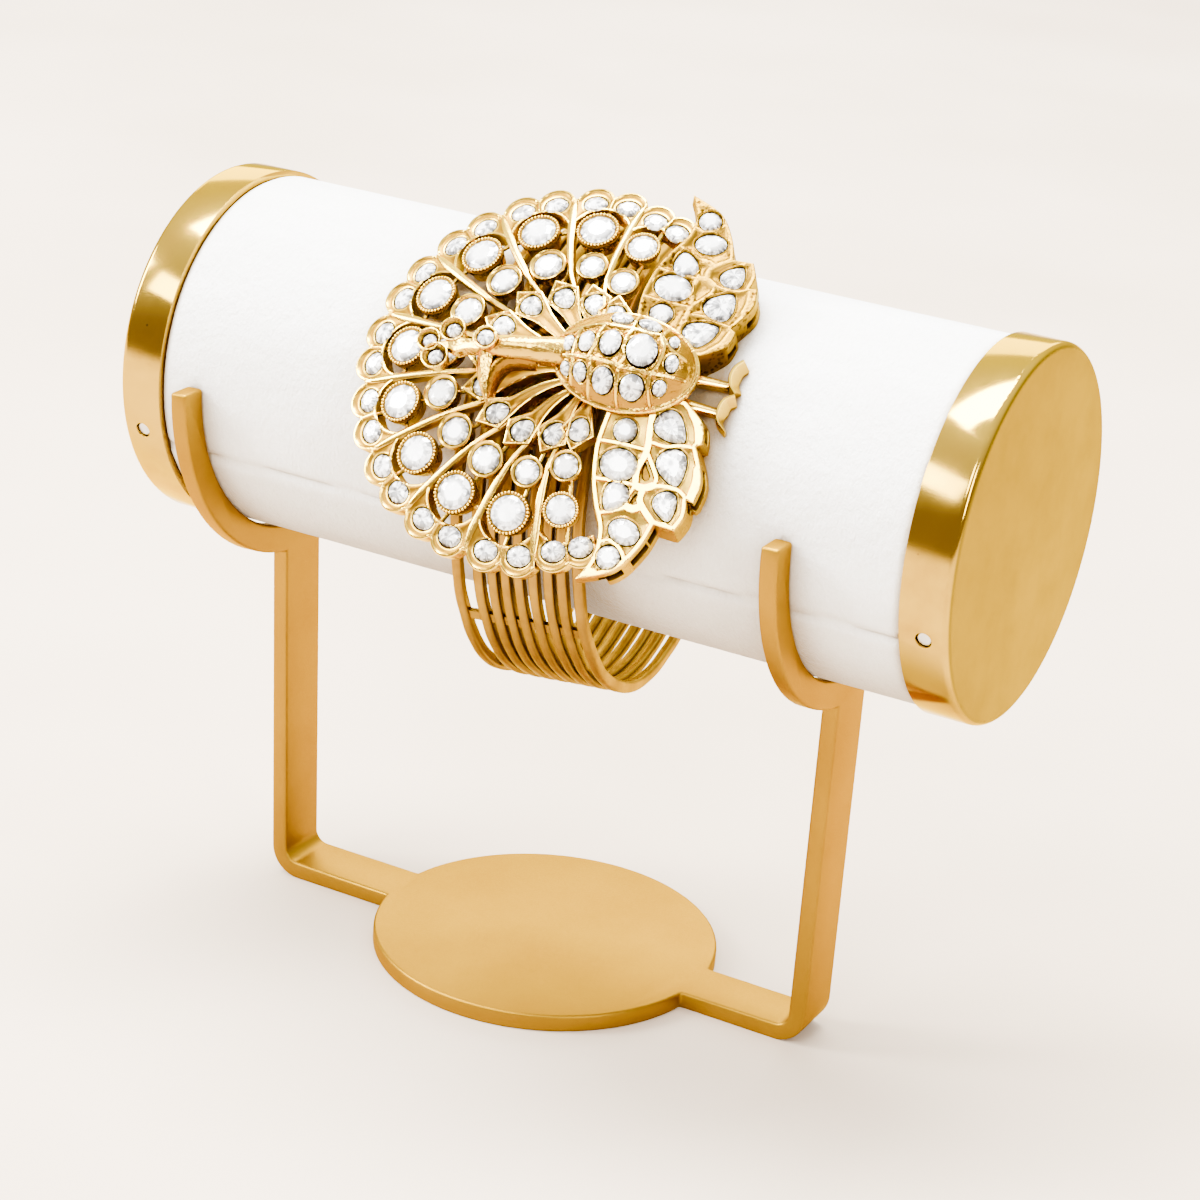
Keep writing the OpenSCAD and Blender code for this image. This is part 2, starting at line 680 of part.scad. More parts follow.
// Stones
module eye_stone(i) color("whitesmoke") in_plaque()
    at_eye(i - 6) translate([0, 0, -0.1]) cut_stone(eye_stone_d, eye_stone_d, 10);
module wing_stone(s, lower) color("whitesmoke") in_wing(lower)
    at_wing_stone(s) translate([0, 0, 0.1]) cut_stone(s[2], s[3], 8, s[5]);
module body_stone(s) color("whitesmoke") in_plaque()
    on_body(s[0], s[1]) translate([0, 0, -0.1]) flat_stone(s[2], s[3], 8);
module disc_stones() color("whitesmoke") in_plaque() for (k = feathers)
    at_disc(k) translate([0, 0, -0.1]) flat_stone(disc_stone_d, disc_stone_d, 8);
module petal_stones() color("whitesmoke") in_plaque() for (k = feathers)
    at_petal(k) translate([0, 0, -0.1]) flat_stone(petal_stone_d, petal_stone_d, 8);
module rim_stones() color("whitesmoke") in_plaque() for (k = feathers, s = [-1, 1])
    at_rim_stone(k, s) translate([0, 0, -0.1]) flat_stone(rim_stone_l, rim_stone_w, 8);
module crest_stones() color("whitesmoke") in_plaque() for (c = collets)
    translate([c[0], c[1], c[2] - collet_sink - 0.1]) flat_stone(c[5], c[5], 8);

stand();
roll();
cap_left();
cap_right();
cap_screw_left();
cap_screw_right();
cuff_band();
tail_fan();
wing_upper();
wing_lower();
bird();
feet();
for (i = [1 : 11])
    eye_stone(i);
for (i = [1 : wing_stone_total]) {
    wing_stone(wing_stones[i - 1], false);
    wing_stone(wing_stones[i - 1], true);
}
for (i = [1 : body_stone_total])
    body_stone(body_stones[i - 1]);
disc_stones();
petal_stones();
rim_stones();
crest_stones();
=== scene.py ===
"""Peacock cuff bracelet on its velvet roll stand: fine forms and finishes.

Sizes are in millimetres in the classes below and become metres in the meshes.
X runs along the roll, Y away from the viewer and Z up, as in the frame.
"""
import logging
import math
from collections.abc import Callable, Sequence
from dataclasses import dataclass
from enum import Enum

import bmesh
import bpy
import numpy as np
from mathutils import Matrix, Vector, noise
from mathutils.geometry import delaunay_2d_cdt
from mathutils.kdtree import KDTree


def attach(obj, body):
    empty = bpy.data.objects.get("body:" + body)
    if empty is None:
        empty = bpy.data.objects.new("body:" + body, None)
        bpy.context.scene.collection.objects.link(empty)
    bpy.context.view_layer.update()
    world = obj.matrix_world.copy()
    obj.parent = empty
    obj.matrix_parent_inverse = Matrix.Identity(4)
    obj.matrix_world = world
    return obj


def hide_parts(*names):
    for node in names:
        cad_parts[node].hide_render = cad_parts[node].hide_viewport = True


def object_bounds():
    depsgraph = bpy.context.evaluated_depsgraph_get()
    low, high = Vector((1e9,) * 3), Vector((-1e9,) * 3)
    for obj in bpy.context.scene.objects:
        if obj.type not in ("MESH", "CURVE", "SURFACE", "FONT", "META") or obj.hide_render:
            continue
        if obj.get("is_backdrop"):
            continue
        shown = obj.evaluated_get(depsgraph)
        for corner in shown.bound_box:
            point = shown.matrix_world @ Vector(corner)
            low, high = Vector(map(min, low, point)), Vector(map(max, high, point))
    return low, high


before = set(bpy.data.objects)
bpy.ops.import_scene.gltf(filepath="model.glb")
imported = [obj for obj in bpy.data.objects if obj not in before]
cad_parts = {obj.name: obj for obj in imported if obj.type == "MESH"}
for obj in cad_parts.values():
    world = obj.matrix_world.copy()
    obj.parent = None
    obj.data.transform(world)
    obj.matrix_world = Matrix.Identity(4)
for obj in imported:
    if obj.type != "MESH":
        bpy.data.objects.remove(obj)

Array = np.ndarray
Material = bpy.types.Material
Piece = bpy.types.Object
Socket = bpy.types.NodeSocket
Pair = tuple[float, float]
Triple = tuple[float, float, float]
Colour = tuple[float, float, float, float]
Chart = Sequence[Sequence[float]]
Rule = Callable[[Array], Array]

MM = 0.001
BODY = "root"

log = logging.getLogger("cuff")


class Slot(Enum):
    """Material slots of the record."""

    STAND = "stand_gold"
    CAP = "cap_brass"
    SCREW = "screw_steel"
    VELVET = "velvet"
    GOLD = "jewel_gold"
    CRYSTAL = "crystal"


# Plane geometry

def polar(radius: float, angle: float) -> Array:
    """Returns the point at a radius and an angle in degrees."""
    return np.array([radius * math.cos(math.radians(angle)), radius * math.sin(math.radians(angle))])


def toward(start: Array, goal: Array, distance: float) -> Array:
    """Returns the point a distance from start on the way to goal."""
    way = np.asarray(goal, float) - start
    return start + distance * way / np.linalg.norm(way)


def step(values: Array, low: float, high: float) -> Array:
    """Returns a smooth rise from 0 at low to 1 at high."""
    t = np.clip((values - low) / (high - low), 0.0, 1.0)
    return t * t * (3 - 2 * t)


def smooth_line(points: Chart, steps: int) -> Array:
    """Threads a smooth curve through points.

    Args:
        points: Points of any dimension, in order.
        steps: Curve points for each stretch.

    Returns:
        The curve's points, with both ends.
    """
    p = np.asarray(points, float)
    last = len(p) - 1
    out = []
    for i in range(last):
        a, b, c, d = p[max(i - 1, 0)], p[i], p[i + 1], p[min(i + 2, last)]
        for s in range(steps):
            t = s / steps
            out.append(0.5 * (2 * b + (c - a) * t + (2 * a - 5 * b + 4 * c - d) * t**2
                              + (3 * b - a - 3 * c + d) * t**3))
    return np.array([*out, p[last]])


def resample(line: Array, spacing: float, closed: bool) -> Array:
    """Respaces a line evenly, keeping its corners.

    Args:
        line: Points of the line.
        spacing: Longest distance between neighbours.
        closed: Whether the line returns to its start.

    Returns:
        The respaced points, without a repeated end where closed.
    """
    ends = np.roll(line, -1, axis=0) if closed else line[1:]
    out = []
    for a, b in zip(line, ends):
        count = max(1, math.ceil(np.linalg.norm(b - a) / spacing))
        out += [a + (b - a) * i / count for i in range(count)]
    if not closed:
        out.append(line[-1])
    return np.array(out)


def line_distance(points: Array, line: Array, closed: bool) -> Array:
    """Finds each point's distance to a line of straight stretches.

    Args:
        points: The points.
        line: Corners of the line.
        closed: Whether the line returns to its start.

    Returns:
        The distances.
    """
    a = line if closed else line[:-1]
    b = np.roll(line, -1, axis=0) if closed else line[1:]
    best = np.full(len(points), np.inf)
    for start, end in zip(a, b):
        way = end - start
        t = np.clip((points - start) @ way / max(way @ way, 1e-12), 0, 1)
        best = np.minimum(best, np.linalg.norm(points - start - t[:, None] * way, axis=1))
    return best


def is_inside(points: Array, outline: Array) -> Array:
    """Finds which points lie inside a closed outline.

    Args:
        points: The points.
        outline: Corners of the outline.

    Returns:
        Whether each lies inside.
    """
    x, y = points.T
    inside = np.zeros(len(points), bool)
    for (x0, y0), (x1, y1) in zip(outline, np.roll(outline, -1, axis=0)):
        if y0 == y1:
            continue
        crosses = (y0 > y) != (y1 > y)
        inside ^= crosses & (x < (x1 - x0) * (y - y0) / (y1 - y0) + x0)
    return inside


def signed_distance(points: Array, outline: Array) -> Array:
    """Returns the distance to a closed outline, negative inside it."""
    distance = line_distance(points, outline, True)
    return np.where(is_inside(points, outline), -distance, distance)


def counter_clockwise(outline: Array) -> Array:
    """Returns the outline in counter-clockwise order."""
    x, y = outline.T
    area = np.sum(x * np.roll(y, -1) - np.roll(x, -1) * y)
    return outline if area > 0 else outline[::-1]


def left_of(way: Array) -> Array:
    """Returns the directions, one long, to the left of directions."""
    way = way / np.maximum(np.linalg.norm(way, axis=1, keepdims=True), 1e-9)
    return np.stack([-way[:, 1], way[:, 0]], axis=1)


def inset(outline: Array, distance: float | Array) -> Array:
    """Returns a counter-clockwise outline moved inwards by a distance."""
    way = np.roll(outline, -1, axis=0) - np.roll(outline, 1, axis=0)
    return outline + left_of(way) * np.reshape(distance, (-1, 1))


def beside(line: Array, distance: float) -> Array:
    """Returns an open line moved to its left by a distance."""
    return line + distance * left_of(np.gradient(line, axis=0))


def lengths(line: Array) -> Array:
    """Returns each point's length along a line."""
    return np.concatenate([[0], np.cumsum(np.linalg.norm(np.diff(line, axis=0), axis=1))])


def with_stops(outline: Array, stops: Sequence[float]) -> tuple[Array, Array]:
    """Adds points to a closed outline at given lengths along it.

    Args:
        outline: The closed outline.
        stops: Lengths from its first point.

    Returns:
        The outline with the further points, and each point's length along it.
    """
    closed = np.vstack([outline, outline[:1]])
    along = lengths(closed)
    places = np.union1d(along[:-1], np.asarray(stops) % along[-1])
    points = np.column_stack([np.interp(places, along, closed[:, i]) for i in (0, 1)])
    return points, places


def shift(x: float, y: float, z: float) -> Matrix:
    """Returns a move along the axes."""
    return Matrix.Translation((x, y, z))


def turn(degrees: float, axis: str | Vector) -> Matrix:
    """Returns a turn about an axis."""
    return Matrix.Rotation(math.radians(degrees), 4, axis)


def moved(points: Array, matrix: Matrix) -> Array:
    """Returns points carried by a matrix."""
    m = np.array(matrix)
    return points @ m[:3, :3].T + m[:3, 3]


# Places on the jewel

@dataclass(frozen=True)
class Placement:
    """Where the cuff and its plaque sit on the roll.

    Attributes:
        cuff_yaw: Turn of the cuff seen from above.
        cuff_tilt: Tilt along the roll.
        face_turn: Turn of the plaque's face forward from the top.
        plaque_at: Middle of the plaque's dome in its turned frame.
    """

    cuff_at: Triple = (2.3, 2.2, 75.5)
    cuff_yaw: float = 8.0
    cuff_tilt: float = -1.5
    face_turn: float = 48.0
    plaque_at: Triple = (2.6, -3.0, 34.8)
    dome_r: float = 90.0

    def cuff(self) -> Matrix:
        """Returns the frame of the cuff, with X along its axis."""
        return shift(*self.cuff_at) @ turn(self.cuff_yaw, "Z") @ turn(self.cuff_tilt, "Y")

    def plaque(self) -> Matrix:
        """Returns the frame of the plaque, with Z out of its face."""
        return self.cuff() @ turn(self.face_turn, "X") @ shift(*self.plaque_at)

    def lift(self, points: Array) -> Array:
        """Returns points given as x, y and height above the dome, in the plaque's frame."""
        x, y, h = points.T
        z = np.sqrt(self.dome_r**2 - x**2 - y**2)
        grow = 1 + h / self.dome_r
        return np.stack([x * grow, y * grow, z * grow - self.dome_r], axis=1)

    def on_dome(self, at: Array, height: float = 0.0, spin: float = 0.0) -> Matrix:
        """Finds the frame that stands on the dome at a point.

        Args:
            at: Point in the plaque's plane.
            height: Height above the dome.
            spin: Turn about the upright, in degrees.

        Returns:
            The frame, in the plaque's frame.
        """
        reach = self.dome_r + height
        away = float(np.linalg.norm(at))
        z = math.sqrt(reach**2 - away**2) - self.dome_r
        axis = Vector((-at[1], at[0], 0)) if away > 0 else Vector((1, 0, 0))
        tilt = math.degrees(math.asin(away / reach))
        return shift(at[0], at[1], z) @ turn(tilt, axis) @ turn(spin, "Z")


PLACE = Placement()


def sunk(place: Matrix, depth: float) -> Matrix:
    """Returns a frame moved down by a depth."""
    return place @ shift(0, 0, -depth)


# Meshes

class Shells:
    """Closed shells in millimetres that become one mesh.

    Each point has a polish value from 0, satin and antiqued, to 1, polished, with values below 0 browned by
    painted shade, and a place on its stone where it belongs to one.
    """

    def __init__(self) -> None:
        """Starts with no shell."""
        self.points: list[Array] = []
        self.faces: list[tuple[int, ...]] = []
        self.polish: list[Array] = []
        self.cut: list[Array] = []
        self.glint: list[float] = []
        self.count = 0

    def add(self, points: Array, faces: Sequence[Sequence[int]], polish: float | Array = 0.5,
            cut: Array | None = None, glint: Sequence[float] | None = None) -> None:
        """Adds one closed shell and turns its faces outwards.

        Args:
            points: Its corners.
            faces: Its faces, all turned the same way.
            polish: Polish of its corners.
            cut: Place of each corner on its stone.
            glint: Painted glint of each face of a stone, its brightness.
        """
        volume = 0.0
        for face in faces:
            p = points[list(face)]
            volume += np.sum(np.cross(p[1:-1], p[2:]) @ p[0])
        turned = faces if volume > 0 else [tuple(reversed(face)) for face in faces]
        self.faces += [tuple(int(i) + self.count for i in face) for face in turned]
        self.points.append(points)
        self.glint += glint if glint is not None else [1.0] * len(faces)
        self.polish.append(np.broadcast_to(np.asarray(polish, float), (len(points),)))
        self.cut.append(cut if cut is not None else np.zeros((len(points), 2)))
        self.count += len(points)

    def loft(self, rings: Sequence[Array], polish: float | Sequence[float] = 0.5) -> None:
        """Adds a shell over rings with equally many points.

        Args:
            rings: Rings of points, in order.
            polish: Polish of the shell, or of each ring.
        """
        n, last = len(rings[0]), len(rings) - 1
        faces = [tuple(reversed(range(n))), tuple(last * n + j for j in range(n))]
        for i in range(last):
            for j in range(n):
                k = (j + 1) % n
                faces.append((i * n + j, i * n + k, (i + 1) * n + k, (i + 1) * n + j))
        self.add(np.concatenate(rings), faces, np.repeat(np.broadcast_to(polish, (last + 1,)), n))

    def lathe(self, profile: Chart, sides: int, place: Matrix) -> None:
        """Adds a turned shell.

        Args:
            profile: Radius, height and polish of each ring; the ends close on the axis.
            sides: Points round the axis.
            place: Frame whose Z is the axis.
        """
        angles = 2 * math.pi * np.arange(sides) / sides
        round_axis = np.column_stack([np.cos(angles), np.sin(angles), np.zeros(sides)])
        rings = [moved(r * round_axis + (0, 0, z), place) for r, z, _ in profile]
        self.loft(rings, [polish for *_, polish in profile])

    def bar(self, line: Array, widths: Array, section: Chart) -> None:
        """Adds a bar along a line over the plaque's dome.

        Args:
            line: Points of the middle line, in the plaque's plane.
            widths: Width at each point.
            section: Place across, from -1 to 1, height and polish of each corner.
        """
        side = left_of(np.gradient(line, axis=0)) * widths[:, None] / 2
        self.loft([PLACE.lift(np.array([[*(p + across * s), height] for across, height, _ in section]))
                   for p, s in zip(line, side)])
        self.polish[-1] = np.tile([polish for *_, polish in section], len(line))

    def make(self, name: str, finish: Material, place: Matrix, crease: float) -> Piece:
        """Turns the shells into an object.

        Args:
            name: The object's name.
            finish: Its material.
            place: Frame that the points are in, in millimetres.
            crease: Edges sharper than this many degrees stay crisp.

        Returns:
            The object, at the origin, with its place in its mesh.
        """
        mesh = bpy.data.meshes.new(name)
        points = moved(np.concatenate(self.points), place) * MM
        mesh.from_pydata(points.tolist(), [], self.faces)
        polish = mesh.attributes.new("polish", "FLOAT", "POINT")
        polish.data.foreach_set("value", np.concatenate(self.polish).astype(np.float32))
        cut = np.concatenate(self.cut)
        if cut.any():
            corner = np.zeros(len(mesh.loops), np.int32)
            mesh.loops.foreach_get("vertex_index", corner)
            mesh.uv_layers.new(name="Cut").uv.foreach_set("vector", cut[corner].astype(np.float32).ravel())
            glint = mesh.attributes.new("glint", "FLOAT", "FACE")
            glint.data.foreach_set("value", np.array(self.glint, np.float32))
        return link(name, mesh, finish, crease)


def jewel(name: str, shells: Shells, finish: Material, node: str, crease: float = 34.0,
          slot: Slot = Slot.GOLD) -> Piece:
    """Makes a piece of the plaque from shells in its frame and dresses it."""
    return dress(shells.make(name, finish, PLACE.plaque(), crease), slot, node)


def set_stones(name: str, shells: Shells, finish: Material, node: str) -> Piece:
    """Makes a piece of stones with crisp facets from shells in the plaque's frame."""
    return jewel(name, shells, finish, node, 1.0, Slot.CRYSTAL)


def shown(name: str, data: bpy.types.ID) -> Piece:
    """Returns a new object in the scene with the data given."""
    made = bpy.data.objects.new(name, data)
    bpy.context.scene.collection.objects.link(made)
    return made


def link(name: str, mesh: bpy.types.Mesh, finish: Material, crease: float) -> Piece:
    """Puts a mesh in the scene, smooth but for its crisp edges.

    Args:
        name: The object's name.
        mesh: Its mesh.
        finish: Its material.
        crease: Edges sharper than this many degrees stay crisp.

    Returns:
        The object.
    """
    mesh.materials.clear()
    mesh.materials.append(finish)
    mesh.polygons.foreach_set("use_smooth", np.ones(len(mesh.polygons), bool))
    mesh.set_sharp_from_angle(angle=math.radians(crease))
    return shown(name, mesh)


def evaluated(source: Piece, name: str) -> bpy.types.Mesh:
    """Returns a plain mesh of an object's modified shape and removes the object."""
    mesh = bpy.data.meshes.new_from_object(source.evaluated_get(bpy.context.evaluated_depsgraph_get()))
    mesh.name = name
    bpy.data.objects.remove(source)
    return mesh


def dress(piece: Piece, slot: Slot, *nodes: str) -> Piece:
    """Rides a piece on the body and hides the nodes that it stands for.

    Args:
        piece: The piece.
        slot: Its material slot; not used.
        *nodes: Nodes that it replaces.

    Returns:
        The piece.
    """
    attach(piece, BODY)
    if nodes:
        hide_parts(*nodes)
    log.info("%s: %d faces", piece.name, len(piece.data.polygons))
    return piece


@dataclass
class Relief:
    """A plate whose top is a relief: crisp along its border and its guide lines.

    Attributes:
        outline: Counter-clockwise border.
        bottom: Height of its underside, or that height's rule.
        spacing: Distance between the points of the relief.
        guides: Lines that the relief's points follow.
        wall_rows: Height and inward offset of further rows down the outer wall.
        hollow: Outline and ceiling height of a hollow from below.
        flare: How far the outer wall runs outward for each millimetre down.
    """

    outline: Array
    bottom: float | Rule
    spacing: float
    guides: Sequence[Array]
    wall_rows: Sequence[tuple[float, Array]] = ()
    hollow: tuple[Array, float] | None = None
    flare: float = 0.0

    def covers(self, points: Array, gap: float = 0.0) -> Array:
        """Returns which points lie on the plate, a gap or more from its border."""
        return is_inside(points, self.outline) & (line_distance(points, self.outline, True) > gap)

    def inner_points(self) -> Array:
        """Returns the relief's points inside its border: on the guides, and on a grid between them."""
        guides = np.concatenate([resample(g, self.spacing, False) for g in self.guides])
        guides = guides[self.covers(guides, self.spacing * 0.3)]
        cells = np.round(guides / self.spacing * 2.5).astype(int)
        guides = guides[np.sort(np.unique(cells, axis=0, return_index=True)[1])]
        near = KDTree(len(guides))
        for number, p in enumerate(guides):
            near.insert((*p, 0), number)
        near.balance()
        low, high = self.outline.min(axis=0), self.outline.max(axis=0)
        rows = np.arange(low[1], high[1], self.spacing * 0.866)
        grid = np.array([[x, y] for i, y in enumerate(rows)
                         for x in np.arange(low[0] + (i % 2) * self.spacing / 2, high[0], self.spacing)])
        grid = grid[self.covers(grid, self.spacing * 0.6)]
        far = [near.find((*p, 0))[2] > self.spacing * 0.7 for p in grid]
        return np.concatenate([guides, grid[far]])

    def low(self, points: Array) -> Array:
        """Returns points carried to the underside."""
        level = self.bottom(points) if callable(self.bottom) else np.full(len(points), self.bottom)
        return np.column_stack([points, level])

    def shell(self, height: Rule, polish: Rule) -> tuple[Array, list[tuple[int, ...]], Array]:
        """Builds the plate.

        Args:
            height: Height of the top at each point.
            polish: Polish of the top at each point.

        Returns:
            Corners, faces and each corner's polish.
        """
        edge, border = self.outline, np.arange(len(self.outline))
        top_xy = np.concatenate([edge, self.inner_points()])
        top, low = np.column_stack([top_xy, height(top_xy)]), self.low(edge)
        rim = top[border, 2]
        low[:, :2] = inset(edge, -self.flare * (rim - low[:, 2]))
        faces: list[tuple[int, ...]] = list(triangles(top_xy, [border], self.covers))
        base, start = len(top), len(top) + len(low)
        parts = [top, low]
        if self.hollow:
            inner, ceiling = counter_clockwise(self.hollow[0]), self.hollow[1]
            ring, count = np.arange(len(inner)), len(inner)
            rest = triangles(np.concatenate([edge, inner]), [border, len(edge) + ring],
                             lambda p: self.covers(p) & ~is_inside(p, inner))
            roof = triangles(inner, [ring], lambda p: is_inside(p, inner))
            faces += [tuple(base + i for i in reversed(t)) for t in rest]
            faces += [tuple(start + count + i for i in reversed(t)) for t in roof]
            faces += side_faces(start + ring, start + count + ring)
            parts += [self.low(inner), np.column_stack([inner, np.full(count, ceiling)])]
            start += 2 * count
        else:
            faces += [tuple(base + i for i in reversed(t)) for t in triangles(edge, [border], self.covers)]
        levels = [border]
        floor = low[:, 2] + 0.02 * len(self.wall_rows)
        for number, (z, offset) in enumerate(self.wall_rows):
            row = np.maximum(z, floor - 0.02 * number)
            parts.append(np.column_stack([inset(edge, offset - self.flare * (rim - row)), row]))
            levels.append(start + border)
            start += len(edge)
        levels.append(base + border)
        for upper, lower in zip(levels, levels[1:]):
            faces += side_faces(lower, upper)
        points = np.concatenate(parts)
        values = np.concatenate([polish(top_xy), np.full(len(points) - len(top), 0.45)])
        # painted shade in the slots: polish falls with the slots' depth
        if self.wall_rows:
            inward = np.concatenate([offset for _, offset in self.wall_rows])
            values[-len(inward):] -= 2.0 * inward
        return points, faces, values


def side_faces(lower: Array, upper: Array) -> list[tuple[int, ...]]:
    """Returns the faces of a wall between two closed rows of points."""
    around = zip(lower, np.roll(lower, -1), np.roll(upper, -1), upper)
    return [(int(a), int(b), int(c), int(d)) for a, b, c, d in around]


def triangles(points: Array, loops: Sequence[Array], keep: Rule) -> list[tuple[int, int, int]]:
    """Joins points of a plane into counter-clockwise triangles.

    Args:
        points: The points.
        loops: Borders that the triangles keep to, as places in the list.
        keep: Tells by their middles which triangles stay.

    Returns:
        Triangles as places in the list.
    """
    edges = [(int(a), int(b)) for loop in loops for a, b in zip(loop, np.roll(loop, -1))]
    _, _, faces, origin, _, _ = delaunay_2d_cdt([Vector(p) for p in points], edges, [], 0, 1e-7)[:6]
    own = [ids[0] if ids else -1 for ids in origin]
    out = np.array([[own[i] for i in f] for f in faces if len(f) == 3 and all(own[i] >= 0 for i in f)])
    out = out[keep(points[out].mean(axis=1))]
    a, b, c = points[out[:, 0]], points[out[:, 1]], points[out[:, 2]]
    area = (b[:, 0] - a[:, 0]) * (c[:, 1] - a[:, 1]) - (b[:, 1] - a[:, 1]) * (c[:, 0] - a[:, 0])
    out[area < 0] = out[area < 0][:, ::-1]
    return [tuple(t) for t in out[np.abs(area) > 1e-9]]


@dataclass
class Cells:
    """Dished cells between raised lines, each falling to its stone.

    Attributes:
        stones: Closed outlines of the stones.
        lines: Raised lines inside the border, each with its width.
        pits: Closed outlines of deep hollows without a stone.
        wall: Drop at the foot of the raised lines.
        depth: Further drop from there to the stones.
        pocket: Depth of the gap round a stone below its cell.
        edge: Rounding of the plate's border.
        matte: Polish of the cells.
        shoulder: Where a raised line's shoulder starts and ends, beside its edge.
        bezel: Height of the fine rim round each stone.
    """

    outline: Array
    stones: Sequence[Array]
    lines: Sequence[tuple[Array, float]] = ()
    pits: Sequence[Array] = ()
    lip_w: float = 0.5
    wall: float = 0.15
    depth: float = 0.35
    pocket: float = 0.45
    pit_depth: float = 0.8
    edge: float = 0.1
    matte: float = 0.1
    shoulder: Pair = (-0.08, 0.12)
    bezel: float = 0.1

    def away(self, points: Array) -> Array:
        """Returns the distance to the nearest raised line's side, negative on the line."""
        best = line_distance(points, self.outline, True) - self.lip_w
        for line, width in self.lines:
            best = np.minimum(best, line_distance(points, line, False) - width / 2)
        return best

    def rise(self, points: Array) -> Array:
        """Returns how far each point is part of a raised line, from 0 to 1."""
        return 1 - step(self.away(points), *self.shoulder)

    def bezel_share(self, gap: Array) -> Array:
        """Returns how far each distance from a stone lies on its bezel, from 0 to 1."""
        return step(gap, 0.1, 0.18) * (1 - step(gap, 0.28, 0.4))

    def drop(self, points: Array) -> Array:
        """Finds how deep the relief lies below the raised lines.

        Args:
            points: Points of the plate.

        Returns:
            The depth at each point.
        """
        away = self.away(points)
        gap = np.min([signed_distance(points, s) for s in self.stones], axis=0)
        sink = self.wall * step(away, *self.shoulder)
        foot = np.maximum(away, 0)
        sink += self.depth * foot / np.maximum(foot + np.maximum(gap, 0), 1e-6)
        sink += self.pocket * (1 - step(gap, 0.05, 0.14))
        sink -= self.bezel * self.bezel_share(gap)
        for pit in self.pits:
            sink = np.maximum(sink, self.pit_depth * (1 - step(signed_distance(points, pit), -0.12, 0.05)))
        return sink + self.edge * (1 - step(line_distance(points, self.outline, True), 0.0, 0.12))

    def polish(self, points: Array) -> Array:
        """Returns the polish: high on raised lines, below zero where painted shade darkens the gap round each
        stone and the pits.
        """
        gap = np.min([signed_distance(points, s) for s in self.stones], axis=0)
        rise = np.maximum(self.rise(points), 0.8 * self.bezel_share(gap))
        # painted shade in the thin gap round each stone, and in the pits
        crevice_shade = 1.8 * (1 - step(gap, 0.07, 0.18))
        for pit in self.pits:
            crevice_shade = np.maximum(crevice_shade, 0.4 * (1 - step(signed_distance(points, pit), -0.1, 0.1)))
        return self.matte + (1 - self.matte) * rise - crevice_shade * (1 - rise)

    def guides(self) -> list[Array]:
        """Returns the lines that the plate's points have to follow."""
        rows = (0.1, self.lip_w - 0.08, self.lip_w + 0.02, self.lip_w + 0.12)
        out = [inset(self.outline, o) for o in rows]
        for line, width in self.lines:
            out += [beside(line, side * (width / 2 + o)) for side in (-1, 1) for o in (-0.08, 0.02, 0.12)]
            out.append(line)
        for stone in self.stones:
            ring = counter_clockwise(stone)
            out += [np.vstack([g, g[:1]]) for g in [inset(ring, -o) for o in (0.05, 0.15, 0.28, 0.4)]]
        for pit in self.pits:
            ring = counter_clockwise(pit)
            out += [np.vstack([g, g[:1]]) for g in (inset(ring, 0.12), inset(ring, -0.05))]
        return out


# Finishes

class Nodes:
    """A node tree and the nodes added to it."""

    def __init__(self, tree: bpy.types.NodeTree) -> None:
        """Starts on a tree."""
        self.tree = tree

    def add(self, kind: str, inputs: dict | None = None, **settings: object) -> bpy.types.Node:
        """Adds a node.

        Args:
            kind: The node's type.
            inputs: Value or linked socket of each input.
            **settings: Properties of the node.

        Returns:
            The node.
        """
        made = self.tree.nodes.new(kind)
        for key, value in settings.items():
            setattr(made, key, value)
        self.feed(made, inputs or {})
        return made

    def feed(self, target: bpy.types.Node, inputs: dict) -> None:
        """Sets or links inputs of a node."""
        for key, value in inputs.items():
            if isinstance(value, Socket):
                self.tree.links.new(value, target.inputs[key])
            else:
                target.inputs[key].default_value = value

    def vector(self, operation: str, a: object, b: object = (0, 0, 0)) -> Socket:
        """Returns the result of a calculation on one or two vectors."""
        made = self.add("ShaderNodeVectorMath", {0: a, 1: b}, operation=operation)
        return made.outputs["Value" if operation in ("LENGTH", "DISTANCE", "DOT_PRODUCT") else "Vector"]

    def scaled(self, a: object, factor: object) -> Socket:
        """Returns a vector times a factor."""
        return self.add("ShaderNodeVectorMath", {0: a, "Scale": factor}, operation="SCALE").outputs[0]


